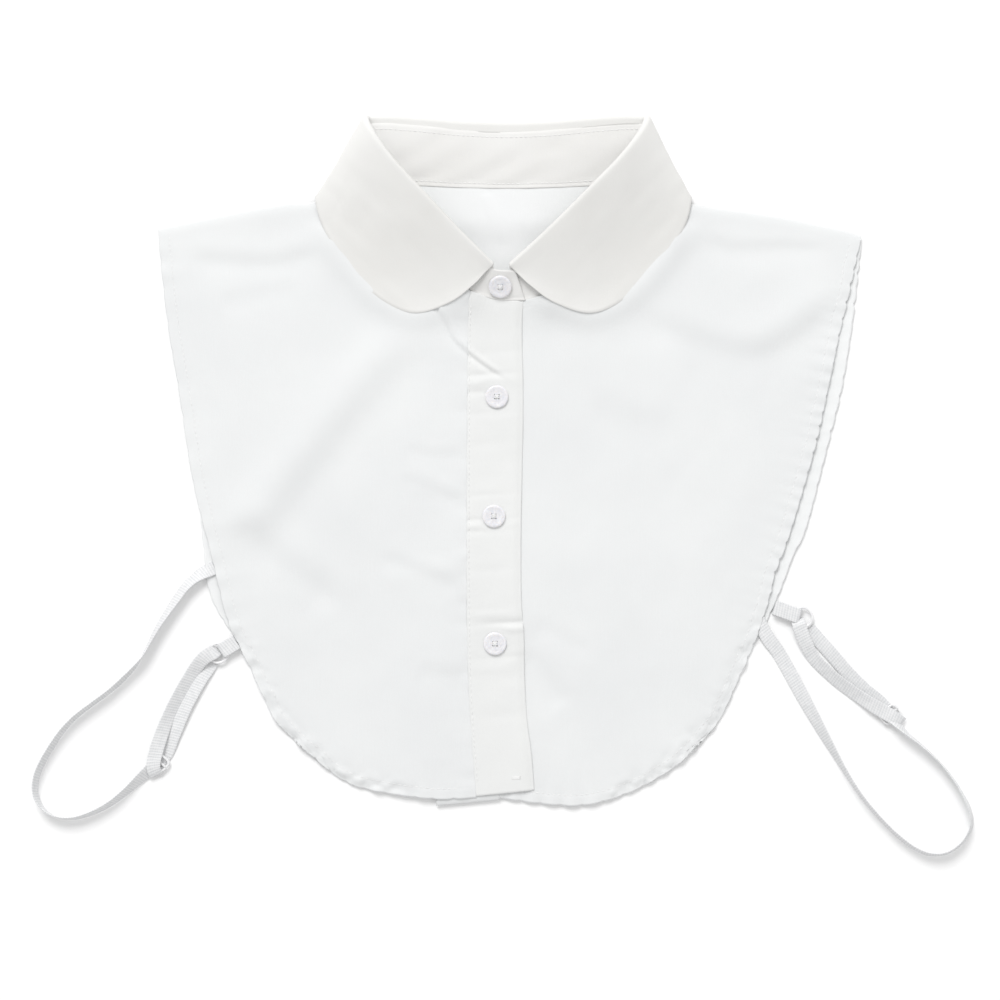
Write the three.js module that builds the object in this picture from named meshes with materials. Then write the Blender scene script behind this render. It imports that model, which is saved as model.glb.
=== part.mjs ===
// Detachable shirt collar (false collar) laid flat on its back, front side up.
// Millimetres, +Z up. The origin is at the bottom centre of the cloth: z = 0 is the surface it lies on,
// x runs to the viewer's right and y from the hem towards the neck.
// Left and right are the viewer's. The left front laps over the right one and is buttoned.
// Every cloth wall is a grid of points on the wall's middle surface, thickened to a closed solid.
import * as THREE from "three";

const CLOTH = 1.0;
const GAP = 0.3;
const LEAF_SEAM_GAP = 0.5;
const COLLAR_CENTRE_X = -1.7;
const RIGHT_LEAF_SHARE = 0.97;

const COLOURS = {
  cotton: 0xf2f2f1,
  collarCotton: 0xf3f3f1,
  elastic: 0xdcdcdc,
  pearl: 0xe9eaee,
  plastic: 0xe6e6e8,
};

const material = (color, roughness) =>
  new THREE.MeshStandardMaterial({ color, roughness, metalness: 0 });
const cotton = () => material(COLOURS.cotton, 0.85);
const collarCotton = () => material(COLOURS.collarCotton, 0.8);
const elastic = () => material(COLOURS.elastic, 0.7);
const pearl = () => material(COLOURS.pearl, 0.25);
const plastic = () => material(COLOURS.plastic, 0.35);

const clamp01 = (t) => Math.min(1, Math.max(0, t));
const smooth = (low, high, value) => {
  const t = clamp01((value - low) / (high - low));
  return t * t * (3 - 2 * t);
};
const vec = (x, y, z = 0) => new THREE.Vector3(x, y, z);

// Geometry of a closed solid from a list of points and a list of triangles.
function solid(points, triangles) {
  const geometry = new THREE.BufferGeometry();
  const numbers = points.flatMap((point) => [point.x, point.y, point.z]);
  geometry.setAttribute("position", new THREE.Float32BufferAttribute(numbers, 3));
  geometry.setIndex(triangles.flat());
  geometry.computeVertexNormals();
  return geometry;
}

// Thickens a grid of middle-surface points: rows run along the wall, columns across it.
// offset(row, column) is half the wall, as a vector from the middle to the outer face.
function thicken(grid, offset) {
  const rows = grid.length;
  const columns = grid[0].length;
  const outer = [];
  const inner = [];
  for (let i = 0; i < rows; i++) {
    for (let j = 0; j < columns; j++) {
      const half = offset(i, j);
      outer.push(grid[i][j].clone().add(half));
      inner.push(grid[i][j].clone().sub(half));
    }
  }
  const count = rows * columns;
  const at = (i, j) => i * columns + j;
  const triangles = [];
  const quad = (a, b, c, d) => triangles.push([a, b, c], [a, c, d]);
  for (let i = 0; i < rows - 1; i++) {
    for (let j = 0; j < columns - 1; j++) {
      quad(at(i, j), at(i + 1, j), at(i + 1, j + 1), at(i, j + 1));
      quad(count + at(i, j), count + at(i, j + 1), count + at(i + 1, j + 1), count + at(i + 1, j));
    }
  }
  for (let i = 0; i < rows - 1; i++) {
    quad(at(i + 1, 0), at(i, 0), count + at(i, 0), count + at(i + 1, 0));
    const last = columns - 1;
    quad(at(i, last), at(i + 1, last), count + at(i + 1, last), count + at(i, last));
  }
  for (let j = 0; j < columns - 1; j++) {
    quad(at(0, j), at(0, j + 1), count + at(0, j + 1), count + at(0, j));
    const last = rows - 1;
    quad(at(last, j + 1), at(last, j), count + at(last, j), count + at(last, j + 1));
  }
  return solid([...outer, ...inner], triangles);
}

// Half the wall along the surface's own normal, for walls that bend round.
function normalOffset(grid, thickness) {
  return (i, j) => {
    const up = Math.max(i - 1, 0);
    const down = Math.min(i + 1, grid.length - 1);
    const left = Math.max(j - 1, 0);
    const right = Math.min(j + 1, grid[0].length - 1);
    const along = grid[down][j].clone().sub(grid[up][j]);
    const across = grid[i][right].clone().sub(grid[i][left]);
    return along.cross(across).normalize().multiplyScalar(thickness / 2);
  };
}

const smoothCurve = (points) =>
  new THREE.CatmullRomCurve3(points.map(([x, y, z = 0]) => vec(x, y, z)), false, "catmullrom", 0.5);

// The collar: one row for each section across it, from the centre front round the side to the centre back.
// out is the distance from the collar's centre line. fold is where the leaf turns over, edge the leaf's
// free edge, seam the neck seam. turn is the way from the stand to the leaf: 0 up, 90 outward, 180 down.
// roll is half the gap between stand and leaf, band how far the leaf's own seam lies below the fold.
const SECTION_COLUMNS = [
  "foldOut", "foldY", "foldZ", "edgeOut", "edgeY", "edgeZ", "seamOut", "seamY", "seamZ",
  "turn", "roll", "band", "rise",
];
const SECTION_ROWS = [
  [7.2, 104.5, 10.4, 10.2, 100.8, 9.9, 3.4, 86.6, 6.6, 0, 1.5, 2.0, 0.3],
  [14.2, 111.5, 11.6, 18.0, 92.9, 9.5, 15.3, 89.8, 7.2, 0, 1.9, 2.2, 1.0],
  [22.9, 120.2, 13.2, 31.0, 83.7, 8.4, 27.7, 97.2, 7.8, 0, 2.2, 2.5, 2.0],
  [34.2, 131.8, 15.0, 50.4, 78.6, 7.2, 41.2, 109.1, 8.2, 0, 2.4, 3.0, 2.8],
  [48.2, 146.6, 16.6, 69.3, 87.2, 6.8, 55.3, 123.7, 8.4, 0, 2.5, 3.4, 3.2],
  [61.2, 160.9, 17.0, 86.0, 104.8, 7.6, 68.2, 136.1, 8.4, 8, 2.6, 3.5, 3.2],
  [70.2, 173.6, 15.6, 98.2, 123.7, 8.8, 79.0, 142.6, 7.8, 35, 2.6, 3.4, 2.2],
  [74.8, 182.6, 10.4, 102.6, 139.6, 6.6, 86.4, 146.3, 5.6, 90, 2.7, 3.0, 0.8],
  [72.6, 184.0, 5.2, 99.0, 140.2, 1.2, 84.6, 147.2, 3.6, 145, 2.8, 2.4, 0.3],
  [62.0, 184.2, 3.8, 84.4, 136.6, 0.7, 71.0, 147.9, 2.8, 172, 2.9, 2.2, 0],
  [43.9, 183.0, 3.7, 57.4, 135.0, 0.7, 51.0, 148.4, 2.6, 180, 2.9, 2.6, 0],
  [22.3, 181.3, 3.7, 27.7, 133.9, 0.7, 25.0, 147.4, 2.6, 180, 2.9, 3.0, 0],
  [0, 180.7, 3.7, 0, 133.4, 0.7, 0, 146.9, 2.6, 180, 2.9, 3.3, 0],
];
const SIDE = { left: -1, right: 1 };
// What the right front does near the centre: its stand lies lower, under the left one, its leaf rolls
// up over the left stand's end, and its leaf and seam sit closer in. Reaches count sections.
const RIGHT_FRONT = {
  reach: 3.4, drop: 2.1, rollUp: 1.0, leafShift: 5.6, leafReach: 6,
  seamDip: 5.5, dipAt: 2.4, dipWidth: 1.5,
};

// The rows of a table as objects with named columns.
const named = (columns, rows) =>
  rows.map((row) => Object.fromEntries(columns.map((name, i) => [name, row[i]])));
const sections = named(SECTION_COLUMNS, SECTION_ROWS);

// A section of one side in the part's frame.
function placed(section, index, side) {
  const right = side === SIDE.right ? 1 : 0;
  const { reach, drop, rollUp, leafShift, leafReach, seamDip, dipAt, dipWidth } = RIGHT_FRONT;
  const lap = right * Math.max(0, 1 - index / reach);
  const shift = right * leafShift * Math.max(0, 1 - index / leafReach);
  const dip = right * seamDip * Math.exp(-(((index - dipAt) / dipWidth) ** 2));
  const share = right ? RIGHT_LEAF_SHARE : 1;
  const x = (out) => COLLAR_CENTRE_X + side * out;
  return {
    ...section,
    roll: section.roll + rollUp * lap,
    fold: vec(x(section.foldOut) - shift, section.foldY, section.foldZ - (drop - rollUp) * lap),
    edge: vec(x(section.edgeOut * share) - shift, section.edgeY, section.edgeZ),
    seam: vec(x(section.seamOut), section.seamY - dip, section.seamZ - drop * lap),
  };
}

const leftSections = sections.map((section, index) => placed(section, index, SIDE.left));
const rightSections = sections.map((section, index) => placed(section, index, SIDE.right));
const loopSections = [...leftSections, ...rightSections.slice(0, -1).reverse()];

// Interpolates the sections along the loop, with a number of steps for each row.
const NUMBERS = ["turn", "roll", "band", "rise"];
function between(rows, steps) {
  const curves = Object.fromEntries(
    ["fold", "edge", "seam"].map((name) => [
      name,
      new THREE.CatmullRomCurve3(rows.map((row) => row[name]), false, "catmullrom", 0.5),
    ]),
  );
  const total = (rows.length - 1) * steps;
  return Array.from({ length: total + 1 }, (_, k) => {
    const t = k / total;
    const low = Math.min(Math.floor(k / steps), rows.length - 2);
    const share = k / steps - low;
    const mixed = {};
    for (const [name, curve] of Object.entries(curves)) mixed[name] = curve.getPoint(t);
    for (const name of NUMBERS) {
      mixed[name] = THREE.MathUtils.lerp(rows[low][name], rows[low + 1][name], share);
    }
    return mixed;
  });
}

// The section's own directions: tip points past the fold, out from the stand to the leaf.
function directions({ fold, edge, seam, turn }) {
  const tip = fold.clone().sub(edge.clone().add(seam).multiplyScalar(0.5)).setZ(0).normalize();
  const sideways = vec(-tip.y, tip.x);
  if (sideways.x * (fold.x - COLLAR_CENTRE_X) < 0) sideways.negate();
  const angle = THREE.MathUtils.degToRad(turn);
  const out = sideways.multiplyScalar(Math.sin(angle)).add(vec(0, 0, Math.cos(angle)));
  return { tip, out };
}

const along = (origin, ...moves) =>
  moves.reduce((point, [direction, length]) => point.addScaledVector(direction, length), origin.clone());

// The leaf across one section: from its seam on the stand, round the roll, down to its free edge.
// Past the roll it is full, then falls steeply and settles flat towards the edge.
const ROLL_STEPS = 4;
const FALL_STEPS = 6;
const SHOULDER = -0.3;
const SETTLE = 1.3;
function leafSection(section) {
  const { tip, out } = directions(section);
  const { fold, edge, roll, band, rise } = section;
  const centre = along(fold, [tip, -roll]);
  const points = [along(fold, [tip, -(roll + band - LEAF_SEAM_GAP / 2)], [out, -roll])];
  for (let k = 0; k <= ROLL_STEPS; k++) {
    const angle = (Math.PI * k) / ROLL_STEPS;
    points.push(along(centre, [out, -roll * Math.cos(angle)], [tip, roll * Math.sin(angle)]));
  }
  const start = points[points.length - 1];
  const shoulder = along(start.clone().lerp(edge, 1 / 3), [out, rise * SHOULDER]);
  const settled = along(start.clone().lerp(edge, 2 / 3), [out, -rise * SETTLE]);
  const fall = new THREE.CubicBezierCurve3(start, shoulder, settled, edge);
  for (let k = 1; k <= FALL_STEPS; k++) points.push(fall.getPoint(k / FALL_STEPS));
  return points;
}

// The stand across one section: from the neck seam to the leaf's seam.
const STAND_STEPS = 3;
const STAND_BOW = 0.8;
const SEAM_SHARE = 0.02;
function standSection(section) {
  const { tip, out } = directions(section);
  const { fold, seam, roll, band } = section;
  const top = along(fold, [tip, -(roll + band + LEAF_SEAM_GAP / 2)], [out, -roll]);
  const foot = seam.clone().lerp(top, SEAM_SHARE);
  const control = along(foot.clone().lerp(top, 0.5), [out, -STAND_BOW]);
  return new THREE.QuadraticBezierCurve3(foot, control, top).getPoints(STAND_STEPS);
}

// Each stand end runs past the centre front: the left one over the right one.
const STAND_END = {
  left: { fold: vec(2.6, 103.4, 9.8), seam: vec(8.0, 86.4, 6.4), edge: vec(2.0, 88.0, 6.4) },
  right: { fold: vec(-6.6, 103.4, 7.6), seam: vec(-11.4, 86.4, 4.4), edge: vec(-5.4, 88.0, 4.4) },
};
const standRows = [
  { ...leftSections[0], ...STAND_END.left },
  ...loopSections,
  { ...rightSections[0], ...STAND_END.right },
];

const COLLAR_STEPS = 3;
function collarLeaf() {
  const grid = between(loopSections, COLLAR_STEPS).map(leafSection);
  return thicken(grid, normalOffset(grid, CLOTH));
}
function collarStand() {
  const grid = between(standRows, COLLAR_STEPS).map(standSection);
  return thicken(grid, normalOffset(grid, CLOTH));
}

// Panels. The height of a front above the surface: a low rise that grows towards the neck seam, and folds.
// A fold is a soft ridge along a line: from (x0, y0) to (x1, y1), its height and its half width.
const FOLD_COLUMNS = ["x0", "y0", "x1", "y1", "height", "width"];
const FOLD_ROWS = [
  [-34, 76, -6, 45, 0.7, 3.5],
  [-42, 70, -148, -52, 1.2, 16],
  [-146, -20, -104, -82, 0.8, 12],
  [-60, -12, -20, -20, 0.5, 6],
  [-70, -64, -22, -58, 0.5, 7],
  [70, 62, 138, 56, 0.9, 14],
  [128, 66, 178, 92, 0.8, 10],
  [30, -44, 74, -92, 0.5, 14],
];
const folds = named(FOLD_COLUMNS, FOLD_ROWS);
// Where a fold starts, is full, begins to fade and is gone, in shares of its length.
const FOLD_FADE = { start: -0.15, full: 0.25, fade: 0.75, gone: 1.15 };

function foldHeight(x, y) {
  let height = 0;
  for (const fold of folds) {
    const dx = fold.x1 - fold.x0;
    const dy = fold.y1 - fold.y0;
    const length = Math.hypot(dx, dy);
    const t = ((x - fold.x0) * dx + (y - fold.y0) * dy) / length ** 2;
    const away = ((x - fold.x0) * dy - (y - fold.y0) * dx) / length;
    const ends =
      smooth(FOLD_FADE.start, FOLD_FADE.full, t) * (1 - smooth(FOLD_FADE.fade, FOLD_FADE.gone, t));
    height += fold.height * ends * Math.exp(-((away / fold.width) ** 2));
  }
  return height;
}

const PANEL_Z = { back: 0.5, outer: 2.7, underFront: 2.1, overFront: 3.3, placket: 3.6 };
const NECK_SPREAD = 26;
const SEAM_OFFSET = 0.8;
const STRIP_GAP = 0.35;
// Where each front passes from its height at the button line to its height at the side, by |x|.
const LEFT_BLEND = { near: 42, far: 75 };
const RIGHT_BLEND = { near: 10, far: 60, folds: 12, fullFolds: 30 };
const seamPoints = (rows) => between(rows, 2).map((row) => row.seam);
const FRONT_ROWS = 8;
const neckSeam = {
  left: seamPoints([standRows[0], ...leftSections.slice(0, FRONT_ROWS)]),
  right: seamPoints([standRows[standRows.length - 1], ...rightSections.slice(0, FRONT_ROWS)]),
};

// How far a front is lifted at (x, y) to meet the neck seam, fading with the distance from it.
function neckLift(seam, base, x, y) {
  let nearest = Infinity;
  let lift = 0;
  for (const point of seam) {
    const distance = Math.hypot(point.x - x, point.y - y);
    if (distance < nearest) {
      nearest = distance;
      lift = point.z - base;
    }
  }
  return Math.max(0, lift) * Math.exp(-((nearest / NECK_SPREAD) ** 2));
}

function leftHeight(x, y) {
  const outward = smooth(LEFT_BLEND.near, LEFT_BLEND.far, -x);
  const base = THREE.MathUtils.lerp(PANEL_Z.overFront, PANEL_Z.outer, outward);
  return base + neckLift(neckSeam.left, base, x, y) + foldHeight(x, y);
}
function rightHeight(x, y) {
  const outward = smooth(RIGHT_BLEND.near, RIGHT_BLEND.far, x);
  const base = THREE.MathUtils.lerp(PANEL_Z.underFront, PANEL_Z.outer, outward);
  const folded = smooth(RIGHT_BLEND.folds, RIGHT_BLEND.fullFolds, x);
  return base + neckLift(neckSeam.right, base, x, y) + foldHeight(x, y) * folded;
}
function placketHeight(x, y) {
  return PANEL_Z.placket + neckLift(neckSeam.left, PANEL_Z.placket, x, y);
}
function buttonStandHeight(x, y) {
  return PANEL_Z.underFront + neckLift(neckSeam.right, PANEL_Z.underFront, x, y);
}

// The back lies on the surface and is lifted only where the leaf runs under it.
const BACK_LIFT = { height: 2.1, low: 112, high: 130, inner: 100, outer: 128 };
function backHeight(x, y) {
  const { height, low, high, inner, outer } = BACK_LIFT;
  const out = Math.abs(x - COLLAR_CENTRE_X);
  return PANEL_Z.back + height * smooth(low, high, y) * (1 - smooth(inner, outer, out));
}

// Outlines as smooth chains of points, in millimetres. Each runs from the shoulder to the hem, or across.
const OUTLINE = {
  leftShoulder: [
    [-189, 124.2], [-155.8, 131.2], [-121.2, 137.2], [-106, 138], [-92, 140.6], [-86, 143.6],
  ],
  rightShoulder: [
    [189.5, 119.8], [177.4, 123.7], [143.4, 130.7], [100, 136.9], [88, 140.4], [82.6, 143.6],
  ],
  leftSide: [
    [-189, 124.2], [-187.6, 105.3], [-183.5, 70.2], [-178.5, 40.5], [-170.4, -11.3], [-160.2, -53],
    [-151.5, -88], [-141.2, -109.6], [-133.7, -125.8], [-126.1, -140.9], [-113.7, -153.9],
  ],
  leftHem: [[-113.7, -153.9], [-89.4, -173.3], [-66.7, -179.8], [-39.2, -183], [-17.95, -182.2]],
  rightSide: [
    [189.5, 119.8], [183.3, 90.7], [177.4, 65.3], [171.5, 37.3], [165, 7.6], [150.9, -40.5], [142.8, -62.6],
    [138, -81.5], [131.8, -100], [122.3, -121.5], [113.1, -140.9], [102.3, -153.9],
  ],
  rightHem: [
    [102.3, -153.9], [87.8, -166.9], [64.5, -179.8], [40.8, -186.3], [19.2, -185.8], [-5.1, -182.6],
  ],
  backLeftSide: [
    [-188, 122.5], [-186, 105], [-181.8, 70], [-176.8, 40.5], [-168.9, -11], [-163.9, -57.8],
    [-161.7, -71.8], [-155.5, -85.3], [-141.5, -106.5], [-131, -126.5], [-111.7, -151.9],
  ],
  backRightSide: [
    [189.8, 118.2], [186.8, 88], [182.8, 58.9], [178.5, 34.6], [170.4, 2.2], [159.6, -38.3], [153.1, -51.8],
    [144, -76.1], [133.5, -98], [111.5, -138.9], [100.3, -151.9],
  ],
  backHem: [
    [-111.7, -151.9], [-87.4, -170], [-40, -180], [0, -181.5], [40, -181], [86, -164], [100.3, -151.9],
  ],
};

// The two front strips: their long edges from neck to hem, and the middle of their top edge.
const PLACKET = {
  left: [
    [-21.3, 90.3], [-21.4, 87.0], [-21.9, 76.0], [-22.4, 45.0], [-22.6, 10.0], [-22.7, -25.0],
    [-22.7, -60.0], [-22.4, -95.0], [-21.6, -125.0], [-19.9, -153.0], [-17.6, -181.4],
  ],
  right: [
    [7.3, 85.0], [6.6, 70.0], [7.3, 32.0], [6.8, 0.0], [6.3, -25.0], [6.0, -49.0],
    [6.3, -76.0], [7.6, -95.0], [8.1, -120.0], [9.4, -141.0], [11.8, -160.0], [13.2, -178.2],
  ],
  topMiddle: [-7.0, 86.1],
};
const BUTTON_STAND = {
  left: [[-25.6, 84.2], [-39.2, -186.6]],
  right: [[-4.2, 83.6], [-5.4, -183.3]],
  topMiddle: [-14.9, 84.0],
};

// The point at a share of a chain's length.
const chainPoint = (chain) => {
  const curve = smoothCurve(chain);
  curve.arcLengthDivisions = 400;
  return (t) => curve.getPointAt(clamp01(t));
};

// A panel's grid from its four edges: first and last run down it, top and bottom across it.
function panelGrid({ first, last, top, bottom, height, rows, columns }) {
  const edges = [first, last, top, bottom].map(chainPoint);
  const [left, right, upper, lower] = edges;
  const corner = { a: upper(0), b: upper(1), c: lower(0), d: lower(1) };
  return Array.from({ length: rows + 1 }, (_, i) => {
    const v = i / rows;
    return Array.from({ length: columns + 1 }, (_, j) => {
      const u = j / columns;
      const point = left(v).multiplyScalar(1 - u).addScaledVector(right(v), u);
      point.addScaledVector(upper(u), 1 - v).addScaledVector(lower(u), v);
      point.addScaledVector(corner.a, -(1 - u) * (1 - v)).addScaledVector(corner.b, -u * (1 - v));
      point.addScaledVector(corner.c, -(1 - u) * v).addScaledVector(corner.d, -u * v);
      return point.setZ(height(point.x, point.y));
    });
  });
}

const verticalOffset = () => () => vec(0, 0, CLOTH / 2);
const flipped = (grid) => grid.map((row) => [...row].reverse());
const panel = (shape) => thicken(panelGrid(shape), verticalOffset());
const panelFromRight = (shape) => thicken(flipped(panelGrid(shape)), verticalOffset());

// The neck seam of some sections, moved off the stand's foot by the seam's own gap.
const seamChain = (rows) =>
  rows.map(({ fold, seam }) => {
    const away = seam.clone().sub(fold).setZ(0).normalize();
    return [seam.x + SEAM_OFFSET * away.x, seam.y + SEAM_OFFSET * away.y];
  });

const PANEL_STEPS = { rows: 24, columns: 12 };
const BACK_STEPS = { rows: 14, columns: 30 };
const STRIP_STEPS = { rows: 24, columns: 3 };
const FIRST_BACK_ROW = 8;
const FRONT_NECK = { first: 2, end: 7 };
const frontNeck = (rows) => seamChain(rows.slice(FRONT_NECK.first, FRONT_NECK.end)).reverse();
const lastOf = (list) => list[list.length - 1];

// The right front's inner edge is straight, with points close enough to stay so in the smooth chain.
const STRAIGHT_SHARES = [0, 0.012, 0.05, 0.3, 0.6, 0.9, 1];
const RIGHT_NECK_END = [[3, 84.6], [-1.6, 84.0]];
const RIGHT_EDGE_TOP = [-3.85, 82.4];
const straight = ([fromX, fromY], [toX, toY]) =>
  STRAIGHT_SHARES.map((t) => [fromX + (toX - fromX) * t, fromY + (toY - fromY) * t]);

function frontPanelLeft() {
  const inner = [
    lastOf(OUTLINE.leftShoulder), ...frontNeck(leftSections),
    ...PLACKET.left.slice(0, -1).map(([x, y]) => [x - STRIP_GAP, y]), lastOf(OUTLINE.leftHem),
  ];
  return panel({
    first: OUTLINE.leftSide, last: inner, top: OUTLINE.leftShoulder, bottom: OUTLINE.leftHem,
    height: leftHeight, ...PANEL_STEPS,
  });
}

function frontPanelRight() {
  const inner = [
    lastOf(OUTLINE.rightShoulder), ...frontNeck(rightSections), ...seamChain([rightSections[1]]),
    ...RIGHT_NECK_END, ...straight(RIGHT_EDGE_TOP, lastOf(OUTLINE.rightHem)),
  ];
  return panelFromRight({
    first: OUTLINE.rightSide, last: inner, top: OUTLINE.rightShoulder, bottom: OUTLINE.rightHem,
    height: rightHeight, ...PANEL_STEPS,
  });
}

function backPanel() {
  const half = seamChain(leftSections.slice(FIRST_BACK_ROW));
  const otherHalf = seamChain(rightSections.slice(FIRST_BACK_ROW, -1)).reverse();
  const top = [
    OUTLINE.backLeftSide[0], ...OUTLINE.leftShoulder.slice(1), ...half, ...otherHalf,
    ...OUTLINE.rightShoulder.slice(1).reverse(), OUTLINE.backRightSide[0],
  ];
  return panel({
    first: OUTLINE.backLeftSide, last: OUTLINE.backRightSide, top, bottom: OUTLINE.backHem,
    height: backHeight, ...BACK_STEPS,
  });
}

// The front strips: the buttonhole placket on the left front, and the button stand under it on the right.
function strip({ left, right, topMiddle }, height) {
  return panel({
    first: left, last: right,
    top: [left[0], topMiddle, right[0]], bottom: [lastOf(left), lastOf(right)],
    height, ...STRIP_STEPS,
  });
}
const placket = () => strip(PLACKET, placketHeight);
const buttonStand = () => strip(BUTTON_STAND, buttonStandHeight);

const outline = (points) => points.map(([x, y]) => new THREE.Vector2(x, y));

// Buttons: a turned disc with a rim, set on the stand and on the placket.
const BUTTON = {
  radius: 6.2, height: 2.2, foot: 1.1, chamfer: 0.7, lip: 0.5, rim: 0.9, dish: 0.7, segments: 20,
};
const BUTTONS = [
  { name: "button_collar", x: -5.0, y: 92.4, z: 8.35, tilt: 8 },
  { name: "button_upper", x: -6.8, y: 33.5 },
  { name: "button_middle", x: -8.4, y: -30.8 },
  { name: "button_lower", x: -7.8, y: -99.4 },
];
function buttonDisc() {
  const { radius, height, foot, chamfer, lip, rim, dish, segments } = BUTTON;
  const profile = outline([
    [0, 0], [radius - foot, 0], [radius, chamfer], [radius, height - chamfer],
    [radius - lip, height], [radius - lip - rim, height],
    [radius - lip - rim - dish, height - dish], [0, height - dish],
  ]);
  return new THREE.LatheGeometry(profile, segments).rotateX(Math.PI / 2);
}

// Straps: 7.5 mm elastic, each a main run and the run that comes back from the ring to the slider.
// The routes are points along the middle of the strap; a run lies flat on the surface or on the run below.
const STRAP = { width: 7.5, thickness: 0.9 };
const ROUTES = {
  strap_left: [
    [-159.0, -58.6, 1.62], [-164.5, -61.0, 1.62], [-169.5, -64.2, 1.0], [-174.4, -68.6, 0.6],
    [-179.6, -75.6, 0.6], [-185.3, -84.0, 0.6],
    [-189.9, -91.3, 0.6], [-194.1, -99.4, 0.6], [-197.4, -105.6, 0.6],
    [-201.9, -112.0, 0.6], [-208.7, -119.2, 0.6],
    [-216.3, -125.8, 0.6], [-225.1, -132.2, 0.6], [-233.6, -138.8, 0.6], [-240.6, -146.2, 0.6],
    [-246.4, -154.6, 0.6], [-251.5, -163.4, 0.6], [-254.8, -171.8, 0.6], [-255.2, -180.0, 0.6],
    [-251.6, -187.6, 0.6], [-244.6, -192.5, 0.6], [-235.4, -193.6, 0.6], [-225.6, -191.0, 0.6],
    [-215.7, -186.0, 0.6], [-206.6, -179.2, 0.6], [-198.2, -171.4, 0.6], [-190.8, -164.9, 0.6],
    [-185.2, -158.6, 0.6], [-180.6, -147.2, 0.6], [-174.6, -133.4, 0.6], [-167.6, -120.4, 0.6],
    [-162.6, -112.8, 0.6], [-160.4, -109.6, 0.6],
  ],
  strap_left_return: [
    [-162.4, -102.6, 4.1], [-166.4, -108.4, 3.3], [-171.8, -116.6, 1.95], [-178.8, -128.6, 1.95],
    [-184.4, -140.4, 2.5], [-188.8, -152.6, 3.7], [-191.0, -160.4, 3.8],
  ],
  strap_right: [
    [133.6, -86.0, 1.62], [136.6, -91.6, 1.62], [140.2, -97.6, 1.62], [144.6, -103.6, 1.1],
    [149.8, -112.4, 0.6], [156.2, -124.4, 0.6], [163.0, -137.0, 0.6],
    [169.4, -148.6, 0.6], [174.4, -157.4, 0.6], [180.0, -167.0, 0.6],
    [186.2, -176.8, 0.6], [192.9, -185.8, 0.6],
    [200.6, -194.6, 0.6], [209.2, -203.0, 0.6], [218.0, -209.6, 0.6],
    [227.0, -213.0, 0.6], [236.0, -212.0, 0.6],
    [244.0, -206.2, 0.6], [248.6, -197.8, 0.6], [247.8, -189.2, 0.6],
    [243.8, -180.4, 0.6], [237.9, -171.0, 0.6],
    [230.3, -161.9, 0.6], [221.5, -153.9, 0.6], [212.9, -146.8, 0.6],
    [206.6, -139.4, 0.6], [199.8, -131.2, 0.6],
    [190.8, -123.8, 0.6], [181.9, -114.8, 0.6], [174.4, -106.0, 0.6],
    [167.6, -98.4, 0.6], [161.6, -91.4, 0.6],
  ],
  strap_right_return: [
    [154.6, -91.2, 4.1], [158.0, -98.4, 3.3], [164.4, -107.6, 1.95], [176.4, -119.2, 1.95],
    [188.4, -128.0, 2.5], [196.6, -133.2, 3.7], [202.4, -136.6, 3.8],
  ],
};
const STRAP_STEPS = { strap_left: 52, strap_left_return: 8, strap_right: 52, strap_right_return: 8 };

function strapTube(name) {
  const x = STRAP.thickness / 2;
  const y = STRAP.width / 2;
  const chamfer = x / 2;
  const shape = new THREE.Shape(outline([
    [-x, chamfer - y], [chamfer - x, -y], [x - chamfer, -y], [x, chamfer - y],
    [x, y - chamfer], [x - chamfer, y], [chamfer - x, y], [-x, y - chamfer],
  ]));
  return new THREE.ExtrudeGeometry(shape, {
    extrudePath: smoothCurve(ROUTES[name]), steps: STRAP_STEPS[name], bevelEnabled: false,
  });
}

// Hardware: a ring that joins the strap to the front's tab, and a slider that sets the strap's length.
const RING = { radius: 5.2, wire: 0.75, z: 2.3, segments: 20, sides: 6 };
const SLIDER = { length: 8.4, width: 11.4, thickness: 1.3, bar: 1.3, side: 1.4, taper: 0.3, z: 1.5 };
const TAB = { width: 7.5, wall: 0.8, inside: 2.3, low: 0.35, inset: 3.2, bendSteps: 6 };
const HARDWARE = {
  ring_left: { x: -157.0, y: -104.6 },
  ring_right: { x: 158.0, y: -85.4 },
  slider_left: { x: -189.0, y: -162.9, turn: 48 },
  slider_right: { x: 205.2, y: -137.6, turn: 128 },
  strap_tab_left: { ring: "ring_left", turn: 31, length: 8.2 },
  strap_tab_right: { ring: "ring_right", turn: 160.4, length: 12.8 },
};

const ringGeometry = () => new THREE.TorusGeometry(RING.radius, RING.wire, RING.sides, RING.segments);

function sliderGeometry() {
  const { length, width, thickness, bar, side, taper } = SLIDER;
  const x = length / 2;
  const y = width / 2;
  const shape = new THREE.Shape(outline([
    [-x, taper - y], [0, -y], [x, taper - y], [x, y - taper], [0, y], [-x, y - taper],
  ]));
  for (const sign of [-1, 1]) {
    const near = (sign * bar) / 2;
    const far = sign * (x - bar);
    const open = y - side;
    shape.holes.push(
      new THREE.Path(outline([[near, -open], [far, taper - open], [far, open - taper], [near, open]])),
    );
  }
  return new THREE.ExtrudeGeometry(shape, { depth: thickness, bevelEnabled: false, steps: 1 });
}

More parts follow.
